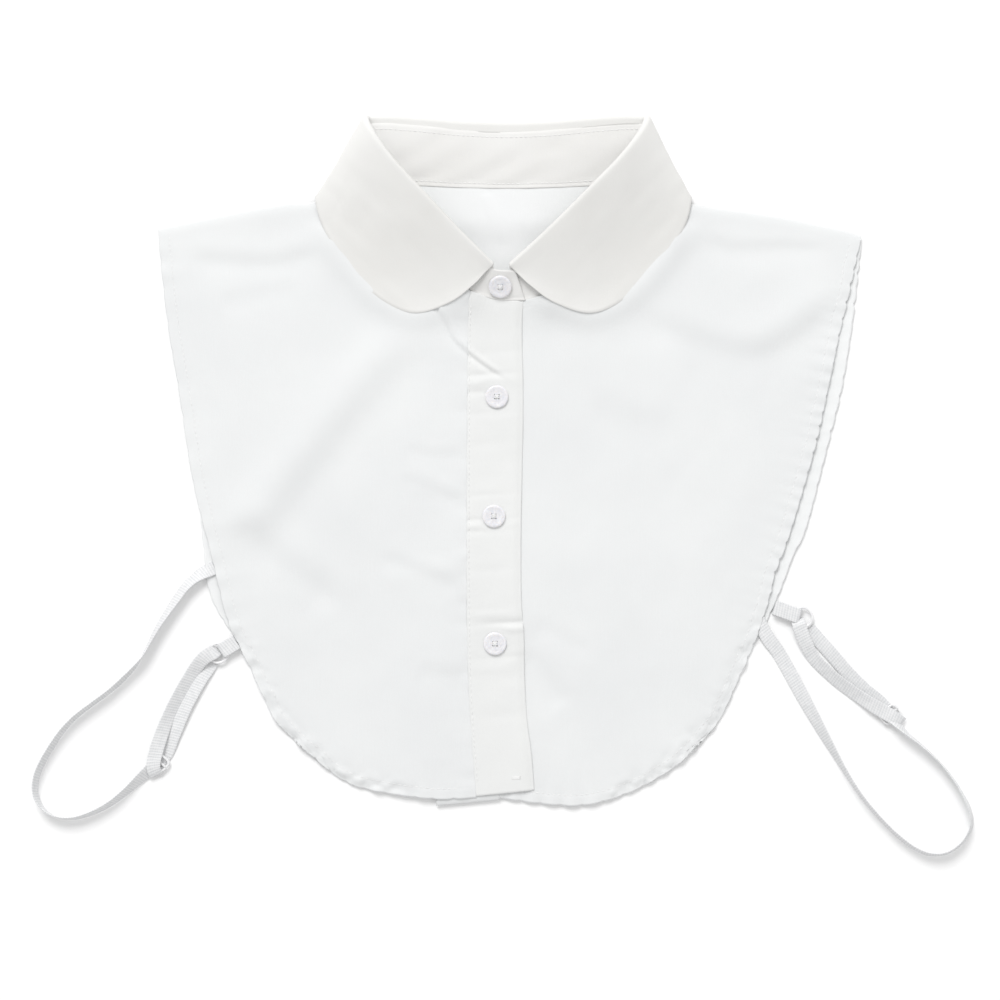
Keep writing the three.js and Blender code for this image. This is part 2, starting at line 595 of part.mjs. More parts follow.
// The tab is a folded band: it wraps the ring's wire and its two legs run to the front's edge.
function tabGeometry(length) {
  const { width, wall, inside, bendSteps } = TAB;
  const turn = inside / 2 + wall;
  const shape = new THREE.Shape();
  shape.moveTo(length, 0).lineTo(length, wall).lineTo(0, wall);
  shape.absarc(0, turn, inside / 2, -Math.PI / 2, Math.PI / 2, true);
  shape.lineTo(length, wall + inside).lineTo(length, 2 * wall + inside).lineTo(0, 2 * wall + inside);
  shape.absarc(0, turn, turn, Math.PI / 2, -Math.PI / 2, false);
  shape.lineTo(length, 0);
  const options = { depth: width, bevelEnabled: false, curveSegments: bendSteps };
  const geometry = new THREE.ExtrudeGeometry(shape, options);
  return geometry.rotateX(Math.PI / 2).translate(0, width / 2, 0);
}

const root = new THREE.Group();
function add(name, geometry, finish, { x = 0, y = 0, z = 0, tilt = 0, turn = 0 } = {}) {
  const mesh = new THREE.Mesh(geometry, finish);
  mesh.name = name;
  mesh.position.set(x, y, z);
  mesh.rotation.set(THREE.MathUtils.degToRad(tilt), 0, THREE.MathUtils.degToRad(turn));
  root.add(mesh);
}

add("back_panel", backPanel(), cotton());
add("front_panel_right", frontPanelRight(), cotton());
add("button_stand", buttonStand(), cotton());
add("front_panel_left", frontPanelLeft(), cotton());
add("placket", placket(), cotton());
add("collar_stand", collarStand(), collarCotton());
add("collar_leaf", collarLeaf(), collarCotton());

for (const { name, x, y, z, tilt } of BUTTONS) {
  add(name, buttonDisc(), pearl(), { x, y, z: z ?? placketHeight(x, y) + CLOTH / 2 + GAP, tilt });
}
for (const name of Object.keys(ROUTES)) add(name, strapTube(name), elastic());
for (const [name, place] of Object.entries(HARDWARE)) {
  if (name.startsWith("ring")) add(name, ringGeometry(), plastic(), { ...place, z: RING.z });
  if (name.startsWith("slider")) add(name, sliderGeometry(), plastic(), { ...place, z: SLIDER.z });
  if (!name.startsWith("strap_tab")) continue;
  const ring = HARDWARE[place.ring];
  const angle = THREE.MathUtils.degToRad(place.turn);
  const x = ring.x + TAB.inset * Math.cos(angle);
  const y = ring.y + TAB.inset * Math.sin(angle);
  add(name, tabGeometry(place.length), elastic(), { x, y, z: TAB.low, turn: place.turn });
}

export default root;
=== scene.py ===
import math

import bmesh
import bpy
import numpy as np
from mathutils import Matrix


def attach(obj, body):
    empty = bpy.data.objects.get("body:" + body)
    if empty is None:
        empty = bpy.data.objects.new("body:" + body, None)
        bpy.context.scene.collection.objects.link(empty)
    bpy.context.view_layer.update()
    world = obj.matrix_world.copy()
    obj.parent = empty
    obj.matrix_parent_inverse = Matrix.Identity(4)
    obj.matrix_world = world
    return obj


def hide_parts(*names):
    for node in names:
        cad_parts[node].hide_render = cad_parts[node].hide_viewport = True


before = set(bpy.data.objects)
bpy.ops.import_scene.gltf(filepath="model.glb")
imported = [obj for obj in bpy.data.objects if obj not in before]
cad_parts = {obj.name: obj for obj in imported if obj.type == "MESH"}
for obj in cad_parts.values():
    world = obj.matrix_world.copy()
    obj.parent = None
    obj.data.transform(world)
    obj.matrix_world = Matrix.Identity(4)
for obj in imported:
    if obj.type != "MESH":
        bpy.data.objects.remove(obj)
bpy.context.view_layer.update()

MM = 0.001


# Small tools.
def smooth(low, high, value):
    t = np.clip((value - low) / (high - low), 0, 1)
    return t * t * (3 - 2 * t)


def mix(a, b, share):
    return a + (b - a) * share


def unit(v):
    return v / np.maximum(np.linalg.norm(v, axis=-1, keepdims=True), 1e-12)


def hump(distance, width):
    """1 where the distance is 0, falling softly to nothing at about twice the width."""
    return np.exp(-((distance / width) ** 2))


def lattice(ix, iy, seed):
    value = np.sin(ix * 127.1 + iy * 311.7 + seed * 74.7) * 43758.5453
    return value - np.floor(value)


def noise(x, y, seed):
    """Smooth noise from -1 to 1 with features about one unit wide."""
    x0, y0 = np.floor(x), np.floor(y)
    fx, fy = smooth(0, 1, x - x0), smooth(0, 1, y - y0)
    low = mix(lattice(x0, y0, seed), lattice(x0 + 1, y0, seed), fx)
    high = mix(lattice(x0, y0 + 1, seed), lattice(x0 + 1, y0 + 1, seed), fx)
    return 2 * mix(low, high, fy) - 1


# Soft unevenness of the cloth, in millimetres: height, and the width of its features along x and y.
RIPPLES = {
    "leaf": (0.2, 14, 14), "leafSlant": (0.14, 7, 30), "stand": (0.16, 12, 8), "standSlant": (0.3, 60, 8),
    "panelWide": (0.22, 34, 27), "panelFine": (0.1, 11, 14), "neck": (0.12, 9, 9), "placket": (0.1, 9, 11),
}


def ripple(name, x, y, seed):
    height, x_width, y_width = RIPPLES[name]
    return height * noise(x / x_width, y / y_width, seed)


def spline(points, t):
    """The smooth curve through points; t counts the points, from 0 to the last one's index."""
    p = np.asarray(points, float)
    p = np.vstack([2 * p[0] - p[1], p, 2 * p[-1] - p[-2]])
    t = np.asarray(t, float)
    i = np.clip(np.floor(t).astype(int), 0, len(p) - 4)
    f = (t - i)[..., None]
    a, b, c, d = p[i], p[i + 1], p[i + 2], p[i + 3]
    m0, m1 = (c - a) / 2, (d - b) / 2
    return (2 * b - 2 * c + m0 + m1) * f**3 + (-3 * b + 3 * c - 2 * m0 - m1) * f**2 + m0 * f + b


def reach_of(line):
    """How far along a line each of its points lies."""
    return np.concatenate([[0.0], np.cumsum(np.linalg.norm(np.diff(line, axis=0), axis=1))])


class Chain:
    """A smooth curve through points, read by distance along it or by share of its length."""

    STEPS = 24

    def __init__(self, points):
        count = (len(points) - 1) * self.STEPS + 1
        self.points = spline(points, np.linspace(0, len(points) - 1, count))
        self.reach = reach_of(self.points)
        self.length = self.reach[-1]

    def at(self, distance):
        columns = [np.interp(distance, self.reach, column) for column in self.points.T]
        return np.stack(columns, -1)

    def share(self, t):
        return self.at(np.asarray(t) * self.length)

    def even(self, spacing):
        count = max(2, int(round(self.length / spacing)) + 1)
        return self.share(np.linspace(0, 1, count))


# Distances to a chain are taken from samples this far apart, for so many points at a time.
SAMPLE = 1.5
BATCH = 8000


def away_from(xy, chain):
    """How far each point is from a chain, and how far along it, in millimetres."""
    count = int(chain.length / SAMPLE) + 1
    reach = np.linspace(0, chain.length, count)
    line = chain.at(reach)[:, :2]
    ahead = unit(np.gradient(line, axis=0))
    flat = xy.reshape(-1, 2)
    nearest = np.empty(len(flat), int)
    for start in range(0, len(flat), BATCH):
        part = flat[start : start + BATCH]
        nearest[start : start + BATCH] = ((part[:, None] - line[None]) ** 2).sum(-1).argmin(1)
    delta = flat - line[nearest]
    forward = np.clip((delta * ahead[nearest]).sum(-1), -SAMPLE, SAMPLE)
    distance = np.sqrt(np.maximum((delta**2).sum(-1) - forward**2, 0))
    along = reach[nearest] + forward
    return distance.reshape(xy.shape[:-1]), along.reshape(xy.shape[:-1])


# Meshes.
def raw_mesh(name, points, faces):
    """A mesh in metres from points in millimetres."""
    mesh = bpy.data.meshes.new(name)
    mesh.from_pydata((np.asarray(points) * MM).tolist(), [], faces)
    return mesh


def turn_outwards(mesh):
    bm = bmesh.new()
    bm.from_mesh(mesh)
    bmesh.ops.recalc_face_normals(bm, faces=bm.faces)
    bm.to_mesh(mesh)
    bm.free()


def linked(name, data):
    """A new object in the scene."""
    made = bpy.data.objects.new(name, data)
    bpy.context.scene.collection.objects.link(made)
    return made


def add_mesh(name, points, faces, material, slot, replaces=(), weave=None):
    """A smooth piece from points in millimetres, riding on the part's one body."""
    mesh = raw_mesh(name, points, faces)
    turn_outwards(mesh)
    if weave is not None:
        corners = np.empty(len(mesh.loops), int)
        mesh.loops.foreach_get("vertex_index", corners)
        mesh.uv_layers.new(name="weave").data.foreach_set("uv", np.asarray(weave)[corners].ravel())
    mesh.polygons.foreach_set("use_smooth", [True] * len(mesh.polygons))
    mesh.materials.append(material)
    piece = linked(name, mesh)
    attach(piece, "root")
    if replaces:
        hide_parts(*replaces)
    return piece


def grid_faces(rows, columns, start=0, wrap=False):
    i, j = np.meshgrid(np.arange(rows - 1), np.arange(columns if wrap else columns - 1), indexing="ij")
    right = (j + 1) % columns
    corners = [i * columns + j, (i + 1) * columns + j, (i + 1) * columns + right, i * columns + right]
    return (start + np.stack(corners, -1).reshape(-1, 4)).tolist()


def end_faces(count, sides):
    """The two faces that close a tube of so many rings."""
    last = (count - 1) * sides
    return [list(range(sides))[::-1], [last + k for k in range(sides)]]


# How far the rounded rim of a sheet stands out, as a share of half its thickness.
RIM_SHARE = 0.8


def wall(grid, upper, lower):
    """Points and faces of a closed sheet: upper and lower are offsets from the grid to its two faces.
    Its rim is rounded: one row of points stands out past the edge."""
    rows, columns = grid.shape[:2]
    top, bottom = grid + upper, grid - lower
    border = [(0, j) for j in range(columns)] + [(i, columns - 1) for i in range(1, rows)]
    border += [(rows - 1, j) for j in range(columns - 2, -1, -1)] + [(i, 0) for i in range(rows - 2, 0, -1)]
    index = np.array(border)
    ri, ci = index[:, 0], index[:, 1]
    inner = grid[np.clip(ri, 1, rows - 2), np.clip(ci, 1, columns - 2)]
    middle = (top[ri, ci] + bottom[ri, ci]) / 2
    half = np.linalg.norm(top[ri, ci] - bottom[ri, ci], axis=-1, keepdims=True) / 2
    rim = middle + unit(middle - inner) * half * RIM_SHARE
    count = rows * columns
    points = np.vstack([top.reshape(-1, 3), bottom.reshape(-1, 3), rim])
    faces = grid_faces(rows, columns) + [face[::-1] for face in grid_faces(rows, columns, count)]
    flat = (ri * columns + ci).tolist()
    for k in range(len(border)):
        n = (k + 1) % len(border)
        a, b = flat[k], flat[n]
        faces.append([a, b, 2 * count + n, 2 * count + k])
        faces.append([2 * count + k, 2 * count + n, count + b, count + a])
    return points, faces


def surface_normals(grid):
    down = np.gradient(grid, axis=0)
    across = np.gradient(grid, axis=1)
    return unit(np.cross(down, across))


def upward_normals(grid):
    normals = surface_normals(grid)
    normals[normals[..., 2] < 0] *= -1
    return normals


# A line that climbs more than this gets the ring of its tube from another axis.
STEEP = 0.95


def tube(line, radius, sides=8, closed=False):
    """Points and faces of a round tube along a line; radius may change along it."""
    line = np.asarray(line, float)
    ahead = np.roll(line, -1, 0) - np.roll(line, 1, 0) if closed else np.gradient(line, axis=0)
    ahead = unit(ahead)
    up = np.broadcast_to(np.array([0.0, 0.0, 1.0]), line.shape).copy()
    steep = np.abs(ahead[:, 2]) > STEEP
    up[steep] = [0.0, 1.0, 0.0]
    side = unit(np.cross(ahead, up))
    up = np.cross(side, ahead)
    turn = np.linspace(0, 2 * math.pi, sides, endpoint=False)
    radius = np.broadcast_to(radius, len(line))[:, None, None]
    ring = side[:, None] * np.cos(turn)[None, :, None] + up[:, None] * np.sin(turn)[None, :, None]
    points = (line[:, None] + ring * radius).reshape(-1, 3)
    faces = grid_faces(len(line), sides, wrap=True)
    if closed:
        last = (len(line) - 1) * sides
        faces += [[last + k, k, (k + 1) % sides, last + (k + 1) % sides] for k in range(sides)]
    else:
        faces += end_faces(len(line), sides)
    return points, faces


def merged(parts):
    """Several (points, faces) as one."""
    points, faces, start = [], [], 0
    for part_points, part_faces in parts:
        points.append(part_points)
        faces += [[start + v for v in face] for face in part_faces]
        start += len(part_points)
    return np.vstack(points), faces


# A stitch lies proud of the cloth and dips into it at both ends, where its thread also gets thinner.
STITCH = {"length": 2.3, "pitch": 3.0, "width": 0.22, "proud": 0.1, "dip": 0.22, "points": 7, "sides": 6}
BLUNT_END = 1.02


def stitches(line, lift=STITCH["proud"], pitch=STITCH["pitch"], length=STITCH["length"]):
    """A row of stitches along a line of points."""
    chain = Chain(line)
    parts = []
    profile = np.linspace(-1, 1, STITCH["points"])
    radius = STITCH["width"] * np.sqrt(BLUNT_END - profile**2)
    for centre in np.arange(pitch, chain.length - pitch, pitch):
        points = chain.at(centre + profile * length / 2)
        points[:, 2] += lift - STITCH["dip"] * profile**4
        parts.append(tube(points, radius, STITCH["sides"]))
    return merged(parts)


# Materials. Coordinates are the object's own, in metres, so patterns keep their size on every piece.
def new_material(name, **settings):
    material = bpy.data.materials.new(name)
    material.use_nodes = True
    shader = material.node_tree.nodes["Principled BSDF"]
    for key, value in settings.items():
        shader.inputs[key].default_value = value
    return material, material.node_tree, shader


def node(tree, kind, **settings):
    made = tree.nodes.new(kind)
    for key, value in settings.items():
        if hasattr(made, key) and not key[0].isupper():
            setattr(made, key, value)
        else:
            made.inputs[key].default_value = value
    return made


def maths(tree, operation, a, b=0.0):
    made = tree.nodes.new("ShaderNodeMath")
    made.operation = operation
    for socket, value in zip(made.inputs, (a, b)):
        if isinstance(value, (int, float)):
            socket.default_value = value
        else:
            tree.links.new(value, socket)
    return made.outputs[0]


def texture(tree, kind, where, **settings):
    """The value of a texture at the given coordinates."""
    made = node(tree, "ShaderNodeTex" + kind, **settings)
    tree.links.new(where, made.inputs["Vector"])
    return made.outputs["Fac"]


def axes_of(tree, where):
    split = node(tree, "ShaderNodeSeparateXYZ")
    tree.links.new(where, split.inputs[0])
    return split.outputs


def turns(tree, axis, pitch):
    """An angle that goes once round in every pitch along an axis."""
    return maths(tree, "MULTIPLY", axis, 2 * math.pi / pitch)


def weighted(tree, *layers):
    """The sum of several values, each times its weight."""
    shares = [maths(tree, "MULTIPLY", value, weight) for value, weight in layers]
    total = shares[0]
    for share in shares[1:]:
        total = maths(tree, "ADD", total, share)
    return total


def toned(tree, shader, source, *stops):
    """Base colour read from a value: each stop is a place and its colour."""
    ramp = node(tree, "ShaderNodeValToRGB")
    elements = ramp.color_ramp.elements
    while len(elements) < len(stops):
        elements.new(0.5)
    for element, (place, colour) in zip(elements, stops):
        element.position = place
        element.color = (*colour, 1)
    tree.links.new(source, ramp.inputs["Fac"])
    tree.links.new(ramp.outputs["Color"], shader.inputs["Base Color"])


def rough_between(tree, shader, source, low, high):
    spread = node(tree, "ShaderNodeMapRange")
    spread.inputs["To Min"].default_value = low
    spread.inputs["To Max"].default_value = high
    tree.links.new(source, spread.inputs["Value"])
    tree.links.new(spread.outputs["Result"], shader.inputs["Roughness"])


def bumped(tree, shader, height, strength, distance):
    bump = node(tree, "ShaderNodeBump", Strength=strength, Distance=distance)
    tree.links.new(height, bump.inputs["Height"])
    tree.links.new(bump.outputs["Normal"], shader.inputs["Normal"])


# Where in a cloud's range the darker and the lighter tone of a material are reached.
DARK_AT = 0.35
LIGHT_AT = 0.65
COTTON = {"Sheen Weight": 0.08, "Sheen Roughness": 0.45, "Specular IOR Level": 0.25}


def woven(name, dark, light, thread, strength):
    """Plain-woven cotton: threads over and under at right angles, with slubs and a soft nap."""
    material, tree, shader = new_material(name, **COTTON)
    where = node(tree, "ShaderNodeTexCoord").outputs["Object"]
    axes = axes_of(tree, where)
    cloud = texture(tree, "Noise", where, Scale=14.0, Detail=3.0)
    toned(tree, shader, cloud, (DARK_AT, dark), (LIGHT_AT, light))
    rough_between(tree, shader, cloud, 0.78, 0.92)
    warp, weft = (maths(tree, "SINE", turns(tree, axes[k], thread)) for k in (0, 1))
    weave = maths(tree, "MULTIPLY", warp, weft)
    stretch = node(tree, "ShaderNodeMapping", Scale=(1.0, 0.12, 1.0))
    tree.links.new(where, stretch.inputs["Vector"])
    slub = texture(tree, "Noise", stretch.outputs["Vector"], Scale=900.0, Detail=3.0)
    creases = texture(tree, "Noise", where, Scale=55.0, Detail=4.0)
    height = weighted(tree, (weave, 0.35), (slub, 0.8), (creases, 2.4))
    bumped(tree, shader, height, strength, 0.00012)
    return material


TWILL = {"along": 1.5, "across": 9.0, "cord": 1.25}


def elastic_material():
    """Narrow ribbed elastic: a slanting twill along the strap, read from its weave coordinates in mm."""
    material, tree, shader = new_material(
        "elastic_knit_painted_groove_shade", **{"Sheen Weight": 0.2, "Sheen Roughness": 0.4, "Specular IOR Level": 0.35}
    )
    weave = node(tree, "ShaderNodeUVMap", uv_map="weave").outputs["UV"]
    axes = axes_of(tree, weave)
    slant = maths(tree, "ADD", turns(tree, axes[0], TWILL["along"]), turns(tree, axes[1], TWILL["across"]))
    twill = maths(tree, "SINE", slant)
    cords = maths(tree, "COSINE", turns(tree, axes[1], TWILL["cord"]))
    cloud = texture(tree, "Noise", weave, Scale=0.35, Detail=3.0)
    height = weighted(tree, (twill, 0.24), (cords, 0.1), (cloud, 0.9))
    # Colour follows the relief: the darker tone in the twill's grooves and between the cords is painted
    # shade, and the cloud adds random tone.
    toned(tree, shader, height, (0.12, (0.67, 0.68, 0.69)), (0.72, (0.8, 0.8, 0.805)))
    rough_between(tree, shader, cloud, 0.5, 0.72)
    bumped(tree, shader, height, 0.8, 0.00025)
    return material


def plain(name, settings, grain, stops, rough, relief, strength, distance):
    """A material with no weave: tones and gloss from one grain, and a fine relief on top."""
    material, tree, shader = new_material(name, **settings)
    where = node(tree, "ShaderNodeTexCoord").outputs["Object"]
    cloud = texture(tree, "Noise", where, **grain)
    toned(tree, shader, cloud, *stops)
    rough_between(tree, shader, cloud, *rough)
    kind, shape = relief
    bumped(tree, shader, texture(tree, kind, where, **shape), strength, distance)
    return material


panel_cotton = woven("panel_cotton", (0.772, 0.782, 0.785), (0.80, 0.81, 0.81), 0.00042, 0.55)
collar_cotton = woven("collar_cotton", (0.745, 0.739, 0.718), (0.786, 0.782, 0.765), 0.00036, 0.45)
# The stand's cotton is a lighter copy of the collar's: painted light that makes up for the shade on the
# stand.
band_cotton_painted_light = woven("band_cotton_painted_light", (0.79, 0.782, 0.763), (0.83, 0.826, 0.813), 0.00036, 0.45)
placket_cotton = woven("placket_cotton", (0.782, 0.788, 0.781), (0.811, 0.816, 0.808), 0.00042, 0.55)
# The back's cotton is a lighter copy of the panels' cotton: painted light that makes up for the shade
# inside the neck opening.
back_cotton_painted_light = woven("back_cotton_painted_light", (0.83, 0.84, 0.84), (0.855, 0.863, 0.865), 0.00042, 0.55)
elastic = elastic_material()
thread = plain(
    "sewing_thread", {"Sheen Weight": 0.25, "Specular IOR Level": 0.35}, {"Scale": 300.0, "Detail": 3.0},
    [(DARK_AT, (0.8, 0.8, 0.795)), (LIGHT_AT, (0.88, 0.88, 0.875))], (0.5, 0.7),
    ("Wave", {"Scale": 900.0, "Distortion": 1.5}), 0.4, 0.00008,
)
PEARL_SWIRL = {"Scale": 260.0, "Detail": 3.0, "Distortion": 2.2}
pearl = plain(
    "pearl_button",
    {
        "Coat Weight": 0.5, "Coat Roughness": 0.12, "Subsurface Weight": 0.4,
        "Subsurface Radius": (0.0022, 0.002, 0.0018), "Subsurface Scale": 1.0, "Specular IOR Level": 0.6,
    },
    PEARL_SWIRL, [(0.3, (0.73, 0.735, 0.77)), (0.5, (0.79, 0.775, 0.8)), (0.7, (0.85, 0.85, 0.86))],
    (0.16, 0.3), ("Noise", PEARL_SWIRL), 0.12, 0.0001,
)
plastic = plain(
    "clear_white_plastic",
    {
        "Coat Weight": 0.4, "Coat Roughness": 0.1, "Subsurface Weight": 0.3,
        "Subsurface Radius": (0.002, 0.002, 0.002), "Subsurface Scale": 1.0,
    },
    {"Scale": 220.0, "Detail": 3.0}, [(DARK_AT, (0.76, 0.76, 0.77)), (LIGHT_AT, (0.86, 0.86, 0.865))],
    (0.2, 0.36), ("Noise", {"Scale": 1200.0, "Detail": 2.0}), 0.08, 0.00005,
)


# Camera: straight above, with the photograph's 0.54 mm to a pixel at the surface, +Y up in the image.
VIEW = {"x": -0.0051, "y": -0.0221, "z": 1.275, "lens": 85.0, "sensor": 36.0, "far": 20.0}
camera_data = bpy.data.cameras.new("camera")
camera_data.lens = VIEW["lens"]
camera_data.sensor_width = VIEW["sensor"]
camera_data.dof.use_dof = False
camera_data.clip_end = VIEW["far"]
camera = linked("camera", camera_data)
camera.location = (VIEW["x"], VIEW["y"], VIEW["z"])
bpy.context.scene.camera = camera


# Straps: the routes are the part's own, in millimetres, and the last number of each point is the
# tilt of the strap there: 0 lies flat, 90 stands on its edge, over 90 shows its other face.
STRAP = {
    "width": 7.5, "thickness": 0.9, "rib": 1.05, "ridge": 0.1, "step": 0.35, "sides": 22,
    "grooves": 5, "grooveShare": 0.12, "clear": 0.02, "onEdge": 0.985,
}
# Tilts are divided by this while the route is smoothed, so that a turn counts for little in its length.
TILT_SCALE = 10
ROUTES = {
    "strap_left": [
        [-159.0, -58.6, 1.62, 0], [-164.5, -61.0, 1.62, 24], [-169.5, -64.2, 1.0, 44],
        [-174.4, -68.6, 0.6, 50], [-179.6, -75.6, 0.6, 54], [-185.3, -84.0, 0.6, 62],
        [-189.9, -91.3, 0.6, 68], [-194.1, -99.4, 0.6, 76], [-197.4, -105.6, 0.6, 82],
        [-201.9, -112.0, 0.6, 100], [-208.7, -119.2, 0.6, 107], [-216.3, -125.8, 0.6, 106],
        [-225.1, -132.2, 0.6, 105], [-233.6, -138.8, 0.6, 106], [-240.6, -146.2, 0.6, 108],
        [-246.4, -154.6, 0.6, 110], [-251.5, -163.4, 0.6, 110], [-254.8, -171.8, 0.6, 108],
        [-255.2, -180.0, 0.6, 102], [-251.6, -187.6, 0.6, 92], [-244.6, -192.5, 0.6, 80],
        [-235.4, -193.6, 0.6, 74], [-225.6, -191.0, 0.6, 70], [-215.7, -186.0, 0.6, 66],
        [-206.6, -179.2, 0.6, 58], [-198.2, -171.4, 0.6, 42], [-190.8, -164.9, 0.6, 12],
        [-185.2, -158.6, 0.6, 0], [-180.6, -147.2, 0.6, -8], [-174.6, -133.4, 0.6, -12],
        [-167.6, -120.4, 0.6, -10], [-162.6, -112.8, 0.6, -4], [-160.4, -109.6, 0.6, 0],
    ],
    "strap_left_return": [
        [-157.8, -102.6, 1.0, 0], [-158.4, -103.2, 2.6, 0], [-159.8, -104.4, 4.0, 0],
        [-162.2, -105.6, 4.1, 0], [-166.4, -109.2, 3.3, -14], [-171.8, -116.6, 1.95, -26],
        [-178.8, -128.6, 1.95, -30], [-184.4, -140.4, 2.5, -28], [-188.8, -152.6, 3.7, -12],
        [-191.0, -160.4, 3.9, 0], [-191.6, -163.4, 4.1, 0], [-191.6, -166.6, 3.9, 0],
        [-190.9, -169.4, 3.0, 0], [-190.4, -170.8, 1.7, 0],
    ],
    "strap_right": [
        [133.6, -86.0, 1.62, 0], [136.6, -91.6, 1.62, 2], [140.2, -97.6, 1.62, 4],
        [144.6, -103.6, 1.1, 6], [149.8, -112.4, 0.6, 8], [156.2, -124.4, 0.6, 18],
        [163.0, -137.0, 0.6, 36], [169.4, -148.6, 0.6, 52], [174.4, -157.4, 0.6, 64],
        [180.0, -167.0, 0.6, 75], [186.2, -176.8, 0.6, 79], [192.9, -185.8, 0.6, 80],
        [200.6, -194.6, 0.6, 79], [209.2, -203.0, 0.6, 78], [218.0, -209.6, 0.6, 75],
        [227.0, -213.0, 0.6, 73], [236.0, -212.0, 0.6, 72], [244.0, -206.2, 0.6, 69],
        [248.6, -197.8, 0.6, 66], [247.8, -189.2, 0.6, 70], [243.8, -180.4, 0.6, 76],
        [237.9, -171.0, 0.6, 80], [230.3, -161.9, 0.6, 83], [221.5, -153.9, 0.6, 81],
        [212.9, -146.8, 0.6, 72], [206.6, -139.4, 0.6, 30], [199.8, -131.2, 0.6, 0],
        [190.8, -123.8, 0.6, -6], [181.9, -114.8, 0.6, -10], [174.4, -106.0, 0.6, -10],
        [167.6, -98.4, 0.6, -4], [161.6, -91.4, 0.6, 0],
    ],
    "strap_right_return": [
        [155.3, -86.2, 1.0, 0], [155.5, -87.2, 2.6, 0], [155.9, -88.8, 4.0, 0],
        [156.5, -91.2, 4.1, 0], [159.2, -98.4, 3.3, 14], [164.4, -107.6, 1.95, 26],
        [176.4, -119.2, 1.95, 30], [188.4, -128.0, 2.5, 26], [196.6, -133.2, 3.7, 12],
        [202.4, -136.6, 3.9, 0], [205.4, -138.4, 4.1, 0], [208.2, -140.2, 3.9, 0],
        [210.4, -141.8, 3.0, 0], [211.5, -142.7, 1.7, 0],
    ],
}


def ribs(reach, pitch):
    """From 1 down to 0 and back in every pitch."""
    return 0.5 + 0.5 * np.cos(2 * math.pi * reach / pitch)


def band(route):
    """A flat ribbed strap along a route, and its centreline: rounded edges, a cord at each edge."""
    half_width, half = STRAP["width"] / 2, STRAP["thickness"] / 2
    rows = Chain([[x, y, z, tilt / TILT_SCALE] for x, y, z, tilt in route]).even(STRAP["step"])
    line, tilt = rows[:, :3].copy(), np.radians(rows[:, 3] * TILT_SCALE)
    lowest = half + half_width * np.abs(np.sin(tilt)) * STRAP["onEdge"] + STRAP["clear"]
    line[:, 2] = np.maximum(line[:, 2], lowest)
    ahead = unit(np.gradient(line, axis=0))
    side = unit(np.cross([0.0, 0.0, 1.0], ahead))
    over = np.cross(ahead, side)
    across = side * np.cos(tilt)[:, None] + over * np.sin(tilt)[:, None]
    out = np.cross(ahead, across)
    reach = reach_of(line)
    turn = np.linspace(0, 2 * math.pi, STRAP["sides"], endpoint=False)
    wide = np.sign(np.cos(turn)) * np.abs(np.cos(turn)) ** 0.72
    high = np.sign(np.sin(turn)) * np.abs(np.sin(turn)) ** 0.42
    middle = smooth(0.95, 0.72, np.abs(wide))
    groove = 0.5 - 0.5 * np.cos(wide * math.pi * STRAP["grooves"])
    depth = (half * (1 - STRAP["grooveShare"] * groove * middle))[None]
    depth = depth - STRAP["ridge"] * (ribs(reach, STRAP["rib"])[:, None] * middle[None])
    points = line[:, None] + across[:, None] * (wide * half_width)[None, :, None]
    points = points + out[:, None] * (high[None] * depth)[:, :, None]
    weave = np.dstack(np.broadcast_arrays(reach[:, None], (wide * half_width)[None])).reshape(-1, 2)
    faces = grid_faces(len(line), STRAP["sides"], wrap=True) + end_faces(len(line), STRAP["sides"])
    return points.reshape(-1, 3), faces, line, weave


# Each run of strap becomes a ribbed elastic band along its route, in place of the part's own. A return
# run is the photograph's distance from slider to ring and a guess for its turns in them.
straps = {}
for run, route in ROUTES.items():
    strap_points, strap_faces, centre, weave = band(route)
    piece = add_mesh(run + "_elastic", strap_points, strap_faces, elastic, "strap_elastic", [run], weave)
    straps[run] = (piece, centre * MM)


def declare_strap(run):
    piece, centre = straps[run]
    path = centre[:: max(1, len(centre) // 60)].tolist()
    path[-1] = centre[-1].tolist()


# Hardware: a ring and a slider on each side, and the tab that holds the ring.
RING = {"radius": 5.2, "wire": 0.75, "z": 2.3, "steps": 72, "sides": 14}
SLIDER = {
    "length": 8.4, "width": 11.4, "z": 2.15, "wire": 0.72, "corner": 2.0, "barShare": 0.95,
    "sides": 12, "cornerSteps": 9, "barSteps": 13,
}
TAB = {
    "width": 7.5, "wall": 0.8, "inside": 2.3, "low": 0.35, "inset": 3.2, "rib": 1.05, "ridge": 0.09,
    "legStart": 0.4, "droop": 0.25, "bendSteps": 15, "legSteps": 24, "columns": 17,
}
HARDWARE = {
    "ring_left": {"x": -157.0, "y": -104.6, "flat": 0.86, "turn": 31},
    "ring_right": {"x": 158.0, "y": -85.4, "flat": 0.86, "turn": 160.4},
    "slider_left": {"x": -189.0, "y": -162.9, "turn": 48},
    "slider_right": {"x": 205.2, "y": -137.6, "turn": 128},
    "strap_tab_left": {"ring": "ring_left", "turn": 31, "length": 8.2},
    "strap_tab_right": {"ring": "ring_right", "turn": 160.4, "length": 12.8},
}


def turned(points, degrees, x, y):
    angle = math.radians(degrees)
    made = np.array(points, float)
    made[:, 0] = points[:, 0] * math.cos(angle) - points[:, 1] * math.sin(angle) + x
    made[:, 1] = points[:, 0] * math.sin(angle) + points[:, 1] * math.cos(angle) + y
    return made


def ring_mesh(place):
    turn = np.linspace(0, 2 * math.pi, RING["steps"], endpoint=False)
    r = RING["radius"]
    line = np.stack([r * np.cos(turn), r * np.sin(turn), np.full(RING["steps"], RING["z"])], -1)
    points, faces = tube(line, RING["wire"], RING["sides"], closed=True)
    return turned(points, place["turn"], place["x"], place["y"]), faces


